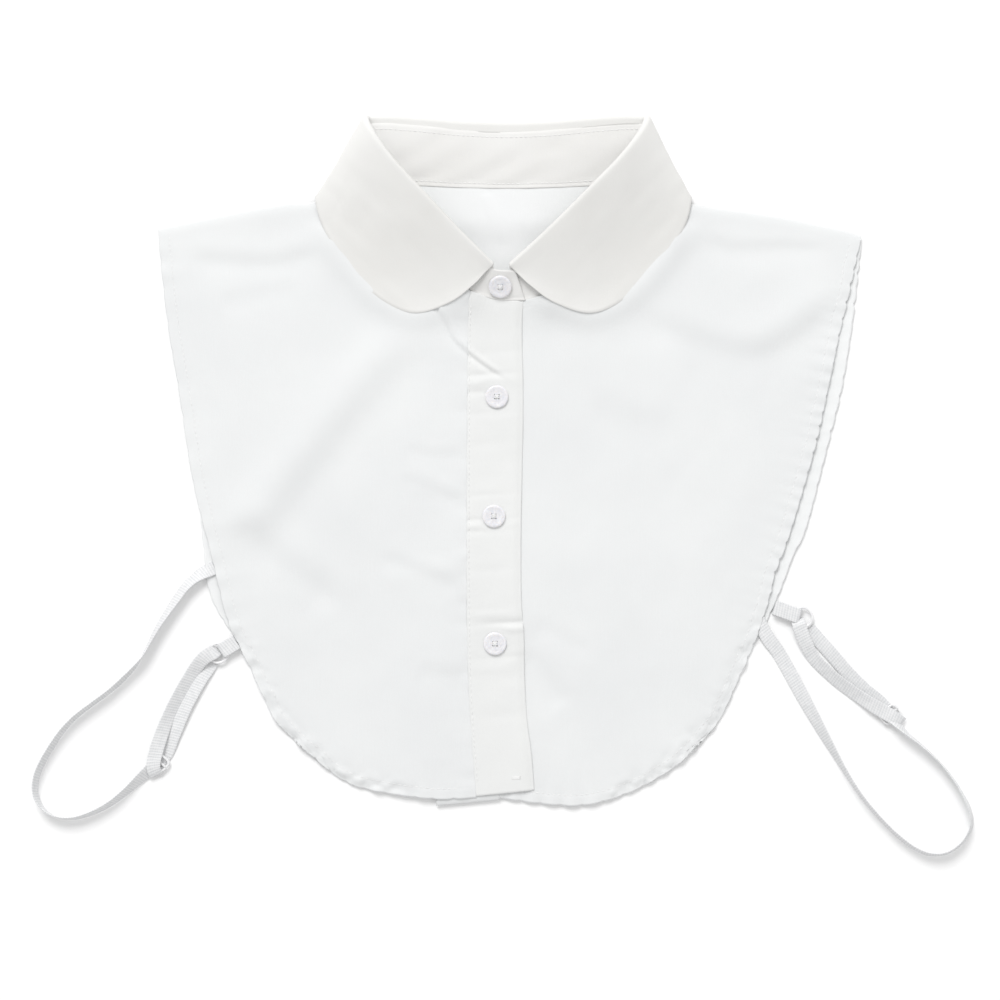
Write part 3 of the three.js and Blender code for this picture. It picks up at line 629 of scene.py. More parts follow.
def slider_mesh(place):
    """A frame with rounded corners and a bar across its middle, all of round moulded wire."""
    x, y = SLIDER["length"] / 2 - SLIDER["wire"], SLIDER["width"] / 2 - SLIDER["wire"]
    corner, z, count = SLIDER["corner"], SLIDER["z"], SLIDER["barSteps"]
    line = []
    for cx, cy, start in [(x, y, 0), (-x, y, 90), (-x, -y, 180), (x, -y, 270)]:
        for angle in np.radians(np.linspace(start, start + 90, SLIDER["cornerSteps"])):
            line.append([
                cx - math.copysign(corner, cx) + corner * math.cos(angle),
                cy - math.copysign(corner, cy) + corner * math.sin(angle), z,
            ])
    rim = tube(Chain(line + [line[0]]).even(0.5)[:-1], SLIDER["wire"], SLIDER["sides"], closed=True)
    bar_line = np.stack([np.zeros(count), np.linspace(-y, y, count), np.full(count, z)], -1)
    bar = tube(bar_line, SLIDER["wire"] * SLIDER["barShare"], SLIDER["sides"])
    points, faces = merged([rim, bar])
    return turned(points, place["turn"], place["x"], place["y"]), faces


def tab_mesh(place):
    """A folded band of the strap's elastic: it wraps the ring's wire and its two legs run to the hem."""
    ring = HARDWARE[place["ring"]]
    angle = math.radians(place["turn"])
    x = ring["x"] + TAB["inset"] * math.cos(angle)
    y = ring["y"] + TAB["inset"] * math.sin(angle)
    thick, inside, length = TAB["wall"], TAB["inside"], place["length"]
    radius = (inside + thick) / 2
    centre_z = TAB["low"] + thick + inside / 2
    arc = np.radians(np.linspace(-90, -270, TAB["bendSteps"]))
    low = [[t, centre_z - radius] for t in np.linspace(length, TAB["legStart"], TAB["legSteps"])]
    bend = [[radius * math.cos(a), centre_z + radius * math.sin(a)] for a in arc]
    legs = np.linspace(TAB["legStart"], length, TAB["legSteps"])
    high = [[t, centre_z + radius - TAB["droop"] * t / length] for t in legs]
    profile = Chain(low + bend + high).even(STRAP["step"])
    columns = np.linspace(-1, 1, TAB["columns"])
    wide = columns * TAB["width"] / 2
    rows = [[np.full_like(wide, px), wide, np.full_like(wide, pz)] for px, pz in profile]
    grid = np.array(rows).transpose(0, 2, 1)
    rib = ribs(np.arange(len(profile)) * STRAP["step"], TAB["rib"])[:, None]
    middle = smooth(0.97, 0.82, np.abs(columns))[None]
    half = surface_normals(grid) * (thick / 2 - TAB["ridge"] * rib * middle)[..., None]
    points, faces = wall(grid, half, half)
    return turned(points, place["turn"], x, y), faces, points[:, :2]


for name, place in HARDWARE.items():
    if "ring" in place:
        points, faces, weave = tab_mesh(place)
        add_mesh(
            name + "_elastic", points, faces, elastic, "strap_elastic", [name], weave
        )
    else:
        part = ring_mesh(place) if name.startswith("ring") else slider_mesh(place)
        add_mesh(name + "_moulded", *part, plastic, "hardware_plastic", [name])
for side in ("left", "right"):
    declare_strap("strap_" + side)
    declare_strap(f"strap_{side}_return")


# Collar: the part's sections from the centre front round the side to the centre back.
CENTRE_X = -1.7
RIGHT_LEAF_SHARE = 0.97
# Columns: out, y and z of the fold, the leaf's edge and the seam, then turn, roll, band and rise.
SECTIONS = [
    [7.2, 104.5, 10.4, 10.2, 100.8, 9.9, 3.4, 86.6, 6.6, 0, 1.5, 2.0, 0.3],
    [14.2, 111.5, 11.6, 18.0, 92.9, 9.5, 15.3, 89.8, 7.2, 0, 1.9, 2.2, 1.0],
    [22.9, 120.2, 13.2, 31.0, 83.7, 8.4, 27.7, 97.2, 7.8, 0, 2.2, 2.5, 2.0],
    [34.2, 131.8, 15.0, 50.4, 78.6, 7.2, 41.2, 109.1, 8.2, 0, 2.4, 3.0, 2.8],
    [48.2, 146.6, 16.6, 69.3, 87.2, 6.8, 55.3, 123.7, 8.4, 0, 2.5, 3.4, 3.2],
    [61.2, 160.9, 17.0, 86.0, 104.8, 7.6, 68.2, 136.1, 8.4, 8, 2.6, 3.5, 3.2],
    [70.2, 173.6, 15.6, 98.2, 123.7, 8.8, 79.0, 142.6, 7.8, 35, 2.6, 3.4, 2.2],
    [74.8, 182.6, 10.4, 102.6, 139.6, 6.6, 86.4, 146.3, 5.6, 90, 2.7, 3.0, 0.8],
    [72.6, 184.0, 5.2, 99.0, 140.2, 1.2, 84.6, 147.2, 3.6, 145, 2.8, 2.4, 0.3],
    [62.0, 184.2, 3.8, 84.4, 136.6, 0.7, 71.0, 147.9, 2.8, 172, 2.9, 2.2, 0],
    [43.9, 183.0, 3.7, 57.4, 135.0, 0.7, 51.0, 148.4, 2.6, 180, 2.9, 2.6, 0],
    [22.3, 181.3, 3.7, 27.7, 133.9, 0.7, 25.0, 147.4, 2.6, 180, 2.9, 3.0, 0],
    [0, 180.7, 3.7, 0, 133.4, 0.7, 0, 146.9, 2.6, 180, 2.9, 3.3, 0],
]
RIGHT_FRONT = {
    "reach": 3.4, "drop": 2.1, "rollUp": 1.0, "leafShift": 5.6, "leafReach": 6,
    "seamDip": 5.5, "dipAt": 2.4, "dipWidth": 1.5,
}


def placed(index, side):
    """A section of one side: fold, edge and seam points, then turn, roll, band and rise."""
    fold, edge, seam = (SECTIONS[index][k : k + 3] for k in (0, 3, 6))
    turn, roll, depth, rise = SECTIONS[index][9:]
    right = 1 if side > 0 else 0
    lap = right * max(0, 1 - index / RIGHT_FRONT["reach"])
    shift = right * RIGHT_FRONT["leafShift"] * max(0, 1 - index / RIGHT_FRONT["leafReach"])
    near = ((index - RIGHT_FRONT["dipAt"]) / RIGHT_FRONT["dipWidth"]) ** 2
    dip = right * RIGHT_FRONT["seamDip"] * math.exp(-near)
    share = RIGHT_LEAF_SHARE if right else 1
    drop, roll_up = RIGHT_FRONT["drop"], RIGHT_FRONT["rollUp"]
    return [
        CENTRE_X + side * fold[0] - shift, fold[1], fold[2] - (drop - roll_up) * lap,
        CENTRE_X + side * edge[0] * share - shift, edge[1], edge[2],
        CENTRE_X + side * seam[0], seam[1] - dip, seam[2] - drop * lap,
        turn, roll + roll_up * lap, depth, rise,
    ]


left_rows = np.array([placed(i, -1) for i in range(len(SECTIONS))])
right_rows = np.array([placed(i, 1) for i in range(len(SECTIONS))])
# The front of the stand rises a little more steeply than the part's plain solid.
FRONT_LIFT = [2.0, 1.3, 0.5]
SEAM_DROP = {"left": [1.2, 0.9, 0.4], "right": [0.7, 0.5, 0.3]}
for rows, side in ((left_rows, "left"), (right_rows, "right")):
    rows[:3, 2] += FRONT_LIFT
    rows[:3, 5] += FRONT_LIFT
    rows[:3, 8] -= SEAM_DROP[side]
loop_rows = np.vstack([left_rows, right_rows[-2::-1]])
STAND_END = {
    "left": [2.6, 103.4, 11.8, 2.0, 88.0, 5.2, 8.0, 86.4, 5.2],
    "right": [-6.6, 103.4, 9.6, -5.4, 88.0, 3.7, -11.4, 86.4, 3.7],
}
left_end = np.concatenate([STAND_END["left"], left_rows[0][9:]])
right_end = np.concatenate([STAND_END["right"], right_rows[0][9:]])
stand_rows = np.vstack([left_end, loop_rows, right_end])


def between(rows, steps):
    """Sections along the loop: points on smooth curves, numbers mixed evenly."""
    t = np.linspace(0, len(rows) - 1, (len(rows) - 1) * steps + 1)
    points = spline(rows[:, :9], t)
    numbers = np.stack([np.interp(t, np.arange(len(rows)), column) for column in rows[:, 9:].T], -1)
    return points[:, 0:3], points[:, 3:6], points[:, 6:9], numbers


def directions(fold, edge, seam, turn):
    tip = fold - (edge + seam) / 2
    tip[:, 2] = 0
    tip = unit(tip)
    sideways = np.stack([-tip[:, 1], tip[:, 0], np.zeros(len(tip))], -1)
    sideways[sideways[:, 0] * (fold[:, 0] - CENTRE_X) < 0] *= -1
    angle = np.radians(turn)[:, None]
    return tip, sideways * np.sin(angle) + np.array([0.0, 0.0, 1.0]) * np.cos(angle)


# How the leaf falls from the fold and the stand rises to it. BULGE and SETTLE are shares of a section's
# rise and ROLL_SHARE of its roll. The rest is in millimetres.
BULGE = -0.4
SETTLE = 1.6
STAND_BOW = 0.8
STAND_FOOT = {"out": 1.0, "up": 0.3}
ROLL_SHARE = 0.62
LEAF_BAND_EXTRA = 0.35
EDGE_DROP = [0, 0.3, 0.8, 1.3, 1.8, 3.0, 4.2, 2.8, 0.4]
LEAF_STEPS = {"along": 11, "band": 4, "roll": 12, "fall": 34}
STAND_STEPS = {"along": 11, "up": 22}


def leaf_grid():
    fold, edge, seam, numbers = between(loop_rows, LEAF_STEPS["along"])
    tip, out = directions(fold, edge, seam, numbers[:, 0])
    roll, depth, rise = (numbers[:, k][:, None] for k in (1, 2, 3))
    section = np.linspace(0, len(loop_rows) - 1, len(edge))
    section = np.minimum(section, len(loop_rows) - 1 - section)
    edge[:, 2] -= np.interp(section, np.arange(len(EDGE_DROP)), EDGE_DROP)
    roll = roll * ROLL_SHARE
    centre = fold - tip * roll
    columns = []
    for t in np.linspace(1, 0, LEAF_STEPS["band"], endpoint=False):
        columns.append(fold - tip * (roll + (depth + LEAF_BAND_EXTRA) * t) - out * roll)
    for angle in np.linspace(0, math.pi, LEAF_STEPS["roll"] + 1):
        columns.append(centre - out * roll * math.cos(angle) + tip * roll * math.sin(angle))
    start = columns[-1]
    first = mix(start, edge, 1 / 3) + out * rise * BULGE
    second = mix(start, edge, 2 / 3) - out * rise * SETTLE
    for t in np.linspace(0, 1, LEAF_STEPS["fall"] + 1)[1:]:
        columns.append(
            start * (1 - t) ** 3 + first * 3 * t * (1 - t) ** 2 + second * 3 * t * t * (1 - t) + edge * t**3
        )
    return np.stack(columns, 1)


def stand_grid():
    fold, edge, seam, numbers = between(stand_rows, STAND_STEPS["along"])
    tip, out = directions(fold, edge, seam, numbers[:, 0])
    roll, depth = numbers[:, 1][:, None] * ROLL_SHARE, numbers[:, 2][:, None]
    top = fold - tip * (roll + depth) - out * roll
    control = mix(seam, top, 0.5) - out * STAND_BOW
    foot = seam + unit((seam - top) * [1.0, 1.0, 0.0]) * STAND_FOOT["out"]
    foot[:, 2] = seam[:, 2] + STAND_FOOT["up"]
    columns = [foot]
    for t in np.linspace(0, 1, STAND_STEPS["up"]):
        columns.append(seam * (1 - t) ** 2 + control * 2 * t * (1 - t) + top * t * t)
    return np.stack(columns, 1)


# Half thickness of the leaf at some of its columns, from the neck seam over the fold to the edge.
LEAF_HALF = {"column": [0, 5, 40, 46, 50], "half": [0.35, 0.45, 0.42, 0.44, 0.3]}
STAND_HALF = 0.45
# The leaf is uneven only past these columns, and the stand less so in its lowest ones.
LEAF_UNEVEN_FROM = (6, 18)
STAND_FOOT_COLUMNS = 3
STAND_FOOT_SHARE = 0.3
# The stand's slanting wrinkles: how much y counts along them, and x across them.
STAND_SLANT = {"along": 1.6, "across": 0.55}

leaf = leaf_grid()
leaf_x, leaf_y = leaf[..., 0], leaf[..., 1]
leaf_column = np.arange(leaf.shape[1])
leaf_out = surface_normals(leaf)
leaf_soft = ripple("leaf", leaf_x, leaf_y, 3)
leaf_soft += ripple("leafSlant", leaf_y - np.abs(leaf_x - CENTRE_X), leaf_y + np.abs(leaf_x), 8)
leaf_soft *= smooth(*LEAF_UNEVEN_FROM, leaf_column)
leaf = leaf + leaf_out * leaf_soft[..., None]
leaf_half = leaf_out * np.interp(leaf_column, LEAF_HALF["column"], LEAF_HALF["half"])[None, :, None]
collar_leaf = add_mesh(
    "collar_leaf_cloth", *wall(leaf, leaf_half, leaf_half), collar_cotton, "collar_cotton", ["collar_leaf"]
)

stand = stand_grid()
stand_x, stand_y = stand[..., 0], stand[..., 1]
stand_out = surface_normals(stand)
stand_soft = ripple("stand", stand_x, stand_y, 5)
stand_along = stand_x + STAND_SLANT["along"] * stand_y
stand_across = stand_y - STAND_SLANT["across"] * stand_x
stand_soft += ripple("standSlant", stand_along, stand_across, 6)
stand_soft[:, :STAND_FOOT_COLUMNS] *= STAND_FOOT_SHARE
stand = stand + stand_out * stand_soft[..., None]
stand_half = stand_out * STAND_HALF
collar_stand = add_mesh(
    "collar_stand_cloth", *wall(stand, stand_half, stand_half), band_cotton_painted_light, "collar_cotton",
    ["collar_stand"],
)


# Panels. A fold is a soft ridge along a line: from (x0, y0) to (x1, y1), its height and its half width.
CAD_FOLDS = [
    [-42, 70, -148, -52, 1.2, 16], [-146, -20, -104, -82, 0.8, 12],
    [-60, -12, -20, -20, 0.5, 6], [-70, -64, -22, -58, 0.5, 7], [70, 62, 138, 56, 0.9, 14],
    [128, 66, 178, 92, 0.8, 10], [30, -44, 74, -92, 0.5, 14],
]


def fold_height(x, y):
    height = np.zeros_like(x)
    for x0, y0, x1, y1, rise, width in CAD_FOLDS:
        dx, dy = x1 - x0, y1 - y0
        length = math.hypot(dx, dy)
        t = ((x - x0) * dx + (y - y0) * dy) / length**2
        off = ((x - x0) * dy - (y - y0) * dx) / length
        ends = smooth(-0.15, 0.25, t) * (1 - smooth(0.75, 1.15, t))
        height += rise * ends * hump(off, width)
    return height


# Creases the photograph shows: a line of points, its depth, its half width, and a step across it that
# is positive where the ground on the line's left lies higher.
CREASES = [
    [[[-50, 100], [-42, 88], [-34, 72], [-30, 64.3], [-20, 55.5], [-9, 47.6], [1, 41.5]], 0.45, 1.1, 1.0],
    [[[-44, 72], [-72, 42], [-100, 8], [-128, -28], [-150, -58]], 0.0, 9.0, -2.1],
    [[[-150, -30], [-128, -52], [-104, -70], [-92, -84]], 1.3, 9.0, 0.7],
    [[[-62, -10], [-44, -15], [-24, -24]], 0.5, 4.0, 0.3],
    [[[-72, -52], [-50, -60], [-24, -70]], 0.5, 4.5, 0.4],
    [[[-58, 6], [-40, 2], [-24, 3]], 0.35, 4.0, 0.2],
    [[[-50, -113], [-36, -116], [-22, -118]], 0.4, 5.0, 0.3],
    [[[8, -102], [20, -118], [32, -134]], 0.6, 6.0, 0.4],
    [[[12, -88], [28, -96], [44, -105]], 0.4, 5.0, 0.2],
    [[[62, 80], [78, 73], [98, 64], [118, 58], [136, 56.5], [152, 63], [166, 74], [180, 91]],
     1.0, 8.0, 0.9],
    [[[99, 121], [110, 116], [122, 113], [150, 114], [178, 116]], 0.6, 5.0, 0.5],
    [[[-176, 108], [-150, 106], [-128, 105], [-108, 110], [-97, 114]], 0.7, 5.5, 0.5],
    [[[-158, 82], [-136, 88], [-112, 92]], 0.4, 6.0, 0.2],
    [[[40, 30], [66, 20], [92, 16]], 0.35, 9.0, 0.3],
]
# The panels bulge softly along the leaf's edge, which rests on them.
LEAF_BULGE = {"depth": -2.3, "width": 8.0}
for rows in (left_rows, right_rows):
    CREASES.append([rows[:8, 3:5].tolist(), LEAF_BULGE["depth"], LEAF_BULGE["width"], 0.0])
# A crease's step fades this many times its half width away from it.
STEP_REACH = 1.6


def crease_height(xy):
    height = np.zeros(xy.shape[:2])
    for points, depth, width, step in CREASES:
        chain = Chain(points)
        line = chain.even(0.5)
        ahead = unit(np.gradient(line, axis=0))
        distance, along = away_from(xy, chain)
        t = along / chain.length
        index = np.clip((t * (len(line) - 1)).round().astype(int), 0, len(line) - 1)
        delta = xy - line[index]
        side = np.sign(ahead[index][..., 0] * delta[..., 1] - ahead[index][..., 1] * delta[..., 0])
        ends = smooth(0.0, 0.2, t) * (1 - smooth(0.8, 1.0, t))
        across = distance / width
        height += (step * side * across * hump(across, STEP_REACH) - depth * hump(across, 1)) * ends
    return height


PANEL_Z = {"back": 0.5, "outer": 2.7, "underFront": 2.1, "overFront": 3.3, "placket": 3.6}
BACK_RISE = 2.1
NECK_SPREAD = 14
SEAM_OFFSET = 0.8
FRONT_ROWS = 8
left_seam = between(np.vstack([left_end, left_rows[:FRONT_ROWS]]), 6)[2]
right_seam = between(np.vstack([right_end, right_rows[:FRONT_ROWS]]), 6)[2]


def neck_lift(seam, base, x, y):
    delta = np.stack([x, y], -1).reshape(-1, 1, 2) - seam[None, :, :2]
    square = (delta**2).sum(-1)
    nearest = square.argmin(1)
    lift = seam[nearest, 2].reshape(x.shape) - base
    away = np.sqrt(square.min(1)).reshape(x.shape)
    return np.maximum(0, lift) * hump(away, NECK_SPREAD)


def left_height(x, y):
    base = mix(PANEL_Z["overFront"], PANEL_Z["outer"], smooth(42, 75, -x))
    return base + neck_lift(left_seam, base, x, y) + fold_height(x, y)


def right_height(x, y):
    base = mix(PANEL_Z["underFront"], PANEL_Z["outer"], smooth(10, 60, x))
    return base + neck_lift(right_seam, base, x, y) + fold_height(x, y) * smooth(12, 30, x)


def placket_height(x, y):
    return PANEL_Z["placket"] + neck_lift(left_seam, PANEL_Z["placket"], x, y)


def button_stand_height(x, y):
    return PANEL_Z["underFront"] + neck_lift(right_seam, PANEL_Z["underFront"], x, y)


def back_height(x, y):
    share = smooth(112, 130, y) * (1 - smooth(100, 128, np.abs(x - CENTRE_X)))
    return PANEL_Z["back"] + BACK_RISE * share


OUTLINE = {
    "leftShoulder": [
        [-189, 124.2], [-155.8, 131.2], [-121.2, 137.2], [-106, 138], [-92, 140.6], [-86, 143.6],
    ],
    "rightShoulder": [
        [189.5, 119.8], [177.4, 123.7], [143.4, 130.7], [100, 136.9], [88, 140.4], [82.6, 143.6],
    ],
    "leftSide": [
        [-189, 124.2], [-187.6, 105.3], [-183.5, 70.2], [-178.5, 40.5], [-170.4, -11.3], [-160.2, -53],
        [-151.5, -88], [-141.2, -109.6], [-133.7, -125.8], [-126.1, -140.9], [-113.7, -153.9],
    ],
    "leftHem": [[-113.7, -153.9], [-89.4, -173.3], [-66.7, -179.8], [-39.2, -183], [-17.95, -182.2]],
    "rightSide": [
        [189.5, 119.8], [183.3, 90.7], [177.4, 65.3], [171.5, 37.3], [165, 7.6], [150.9, -40.5],
        [142.8, -62.6], [138, -81.5], [131.8, -100], [122.3, -121.5], [113.1, -140.9], [102.3, -153.9],
    ],
    "rightHem": [
        [102.3, -153.9], [87.8, -166.9], [64.5, -179.8], [40.8, -186.3], [19.2, -185.8], [-5.1, -182.6],
    ],
    "backLeftSide": [
        [-188, 122.5], [-186, 105], [-181.8, 70], [-176.8, 40.5], [-168.9, -11], [-163.9, -57.8],
        [-161.7, -71.8], [-155.5, -85.3], [-141.5, -106.5], [-131, -126.5], [-111.7, -151.9],
    ],
    "backRightSide": [
        [189.8, 118.2], [186.8, 88], [182.8, 58.9], [178.5, 34.6], [170.4, 2.2], [159.6, -38.3],
        [153.1, -51.8], [144, -76.1], [133.5, -98], [111.5, -138.9], [100.3, -151.9],
    ],
    "backHem": [
        [-111.7, -151.9], [-87.4, -170], [-40, -180], [0, -181.5], [40, -181], [86, -164],
        [100.3, -151.9],
    ],
}
PLACKET = {
    "left": [
        [-21.3, 90.3], [-21.4, 87.0], [-21.9, 76.0], [-22.4, 45.0], [-22.6, 10.0], [-22.7, -25.0],
        [-22.7, -60.0], [-22.4, -95.0], [-21.6, -125.0], [-19.9, -153.0], [-17.6, -181.4],
    ],
    "right": [
        [7.3, 85.0], [6.6, 70.0], [7.3, 32.0], [6.8, 0.0], [6.3, -25.0], [6.0, -49.0],
        [6.3, -76.0], [7.6, -95.0], [8.1, -120.0], [9.4, -141.0], [11.8, -160.0], [13.2, -178.2],
    ],
    "topMiddle": [-7.0, 86.1],
}
BUTTON_STAND = {
    "left": [[-25.6, 84.2], [-39.2, -186.6]],
    "right": [[-4.2, 83.6], [-5.4, -183.3]],
    "topMiddle": [-14.9, 84.0],
}


def seam_chain(rows, offset=SEAM_OFFSET):
    fold, seam = rows[:, 0:3], rows[:, 6:9]
    away = unit((seam - fold) * [1.0, 1.0, 0.0])
    return (seam[:, :2] + offset * away[:, :2]).tolist()


def inward_of(line, centre):
    """Directions at right angles to a line, towards a centre."""
    ahead = unit(np.gradient(line, axis=0))
    inward = np.stack([ahead[:, 1], -ahead[:, 0]], -1)
    inward[((centre - line) * inward).sum(-1) < 0] *= -1
    return inward


def notch_wave(along, notches):
    """1 at every notch of an edge and -1 halfway between two."""
    return np.cos(2 * math.pi * np.interp(along, notches, np.arange(len(notches))))


# Puckers along an edge: how uneven their spacing and depth are, and how they fade at its ends.
UNEVEN = {
    "least": 0.75, "range": 0.5, "shallow": 0.55, "vary": 0.45, "over": 26, "fadeIn": 12, "fadeOut": 10,
    "step": 0.8,
}


def puckered(points, spacing, depth, seed):
    """An edge pulled in at uneven notches, as a hem gathers it, and where its notches are."""
    chain = Chain(points)
    notches, reach = [0.0], 0.0
    while reach < chain.length:
        place = np.float64(len(notches))
        reach += spacing * (UNEVEN["least"] + UNEVEN["range"] * float(lattice(place, np.float64(seed), 11)))
        notches.append(reach)
    notches = np.array(notches)
    distance = np.linspace(0, chain.length, int(chain.length / UNEVEN["step"]) + 1)
    line = chain.at(distance)
    vary = UNEVEN["vary"] * noise(distance / UNEVEN["over"], np.full_like(distance, seed), 7)
    fade = 1 - smooth(chain.length - UNEVEN["fadeOut"], chain.length, distance)
    ends = smooth(0, UNEVEN["fadeIn"], distance) * fade
    pull = depth * (UNEVEN["shallow"] + vary) * np.maximum(0, notch_wave(distance, notches)) ** 4 * ends
    return line + inward_of(line, line.mean(0)) * pull[:, None], notches


def coons(first, last, top, bottom, us, vs):
    """A grid between four edges, each read evenly along its length."""
    left, right, upper, lower = (Chain(edge).share(t) for edge, t in
                                 ((first, vs), (last, vs), (top, us), (bottom, us)))
    u, v = us[None, :, None], vs[:, None, None]
    grid = left[:, None] * (1 - u) + right[:, None] * u + upper[None] * (1 - v) + lower[None] * v
    grid -= upper[0] * (1 - u) * (1 - v) + upper[-1] * u * (1 - v)
    grid -= lower[0] * (1 - u) * v + lower[-1] * u * v
    return grid


def steps(length, fine, reach, coarse, end_fine, end_reach):
    """Shares from 0 to 1: fine spacing for a reach at the start and end, coarse between, in millimetres."""
    start = np.arange(0, reach, fine)
    end = length - np.arange(0, end_reach, end_fine)[::-1]
    middle = np.linspace(reach, end[0], max(2, int((end[0] - reach) / coarse)) + 1)[:-1]
    return np.concatenate([start, middle, end]) / length


SPACING = {
    "frontAcross": (190, 0.55, 8.5, 1.55, 1.0, 6.0), "frontDown": (300, 0.5, 6.0, 1.6, 0.6, 9.0),
    "backAcross": (340, 0.9, 8.0, 2.6, 0.9, 8.0), "backDown": (300, 0.6, 6.0, 2.6, 1.0, 6.0),
}
# Edges: the puckers' spacing, depth and seed, and how high the fronts swell between them.
EDGES = {
    "left": {"spacing": 15.0, "depth": 0.55, "seed": 4, "swell": 0.3},
    "right": {"spacing": 9.0, "depth": 1.25, "seed": 9, "swell": 0.45},
    "hem": {"spacing": 10.0, "depth": 0.6, "swell": 0.5},
    "backLeftSide": {"spacing": 10.0, "depth": 0.8, "seed": 14},
    "backRightSide": {"spacing": 9.0, "depth": 1.3, "seed": 17},
}
# The fronts' hems, in millimetres, and the lower corners, where they roll under and crumple.
HEM = {
    "width": 6.4, "stitch": 5.4, "groove": 0.16, "grooveWidth": 0.7, "swellReach": 6.5,
    "roll": 0.8, "rollReach": 4.5, "crumple": 1.0, "crumpleReach": 7, "calmCorner": 0.6,
}
CORNER = {"y": (-70, -105), "x": (42, 66)}
SHOULDER = {"roll": 5.0, "z": 1.55, "calm": (4, 16)}
# Half thickness of a front above and below its middle, and what the hem adds.
FRONT_HALF = {"above": 0.26, "below": 0.24, "hemAbove": 0.12, "hemBelow": 0.4}
PLACKET_SEAM = {"pull": 0.42, "pullReach": 9, "groove": 0.18, "grooveWidth": 1.1}
# The top of the right front's edge, from the neck seam to the corner under the placket.
RIGHT_NOTCH = [[3, 84.6], [-1.6, 84.0]]
RIGHT_TOP = [-3.85, 82.4]
RIGHT_SHARES = [0, 0.012, 0.05, 0.3, 0.6, 0.9, 1]


def front_inner(side, rows, shoulder, hem):
    """A front's edge from the shoulder along the neck and down to the hem."""
    neck = seam_chain(rows[2:7], 0.2)[::-1]
    if side == "left":
        return [shoulder[-1], *neck, *[[x - 0.1, y] for x, y in PLACKET["left"][:-1]], hem[-1]]
    edge = [[mix(RIGHT_TOP[k], hem[-1][k], t) for k in (0, 1)] for t in RIGHT_SHARES]
    return [shoulder[-1], *neck, *seam_chain(rows[1:2]), *RIGHT_NOTCH, *edge]


def front_panel(side):
    """A front with its shoulder rolled to the back, hems with puckers and stitching, and its creases."""
    is_left = side == "left"
    rows = left_rows if is_left else right_rows
    shoulder, hem = OUTLINE[side + "Shoulder"], OUTLINE[side + "Hem"]
    own, low = EDGES[side], EDGES["hem"]
    seed = own["seed"]
    side_line, side_notches = puckered(OUTLINE[side + "Side"], own["spacing"], own["depth"], seed)
    hem_line, hem_notches = puckered(hem, low["spacing"], low["depth"], seed + 1)
    hem_line[0], side_line[0] = side_line[-1], shoulder[0]
    us, vs = steps(*SPACING["frontAcross"]), steps(*SPACING["frontDown"])
    inner = front_inner(side, rows, shoulder, hem)
    xy = coons(side_line.tolist(), inner, shoulder, hem_line.tolist(), us, vs)
    x, y = xy[..., 0], xy[..., 1]
    z = (left_height if is_left else right_height)(x, y)
    shoulder_away = away_from(xy, Chain(shoulder))[0]
    calm = smooth(*SHOULDER["calm"], shoulder_away)
    z += crease_height(xy) * calm
    z += ripple("panelWide", x, y, seed) * calm + ripple("panelFine", x, y, seed + 2) * calm
    side_away, side_along = away_from(xy, Chain(side_line.tolist()))
    hem_away, hem_along = away_from(xy, Chain(hem_line.tolist()))
    corner = smooth(*CORNER["y"], y) * smooth(*CORNER["x"], np.abs(x))
    for away, along, notches, height in (
        (side_away, side_along, side_notches, own["swell"]),
        (hem_away, hem_along, hem_notches, low["swell"]),
    ):
        swell = 0.6 + 0.6 * noise(along / 19, np.full_like(along, seed), 5)
        swell = swell * (1 - HEM["calmCorner"] * corner)
        z -= height * swell * notch_wave(along, notches) * np.exp(-away / HEM["swellReach"]) * calm
        crumple = noise(along / 5, away / 4, seed + 3) + 0.4 * noise(along / 2.4, away / 3, seed + 6)
        z += HEM["crumple"] * crumple * hump(away, HEM["crumpleReach"]) * corner
    hem_distance = np.minimum(side_away, hem_away)
    z -= HEM["roll"] * hump(hem_distance, HEM["rollReach"]) * corner
    z -= HEM["groove"] * hump(hem_distance - HEM["stitch"], HEM["grooveWidth"])
    if is_left:
        stitched = away_from(xy, Chain(PLACKET["left"]))[0]
        pulled = noise(x / 22, y / 5.2, 21) * np.exp(-stitched / PLACKET_SEAM["pullReach"])
        z += PLACKET_SEAM["pull"] * pulled
        z -= PLACKET_SEAM["groove"] * hump(stitched, PLACKET_SEAM["grooveWidth"])
    round_over = np.sqrt(1 - (1 - np.clip(shoulder_away / SHOULDER["roll"], 0, 1)) ** 2)
    grid = np.dstack([xy, mix(SHOULDER["z"], z, round_over)])
    normals = upward_normals(grid)
    in_hem = (1 - smooth(HEM["width"] - 0.5, HEM["width"] + 0.4, hem_distance))[..., None]
    above = normals * (FRONT_HALF["above"] + FRONT_HALF["hemAbove"] * in_hem)
    below = normals * (FRONT_HALF["below"] + FRONT_HALF["hemBelow"] * in_hem)
    points, faces = wall(grid, above, below)
    return points, faces, grid, side_line, hem_line


def on_grid(grid, line, lift=0.3):
    """Points of a line set on a panel's surface."""
    flat = grid.reshape(-1, 3)
    made = []
    for x, y in line:
        square = (flat[:, 0] - x) ** 2 + (flat[:, 1] - y) ** 2
        near = np.argpartition(square, 4)[:4]
        weight = 1 / (square[near] + 0.01)
        made.append([x, y, (flat[near, 2] * weight).sum() / weight.sum() + lift])
    return np.array(made)


PANEL_MIDDLE = np.array([0.0, -20.0])
fronts, hem_stitching = {}, []
for side in ("left", "right"):
    points, faces, grid, side_line, hem_line = front_panel(side)
    fronts[side] = add_mesh(
        f"front_{side}_cloth", points, faces, panel_cotton, "panel_cotton", ["front_panel_" + side]
    )
    border = np.vstack([Chain(side_line.tolist()).even(2.0), Chain(hem_line.tolist()).even(2.0)[1:]])
    smooth_border = Chain(border[::3].tolist()).even(1.5)[2:-3]
    stitch_line = smooth_border + inward_of(smooth_border, PANEL_MIDDLE) * HEM["stitch"]
    hem_stitching.append(stitches(on_grid(grid, stitch_line)))


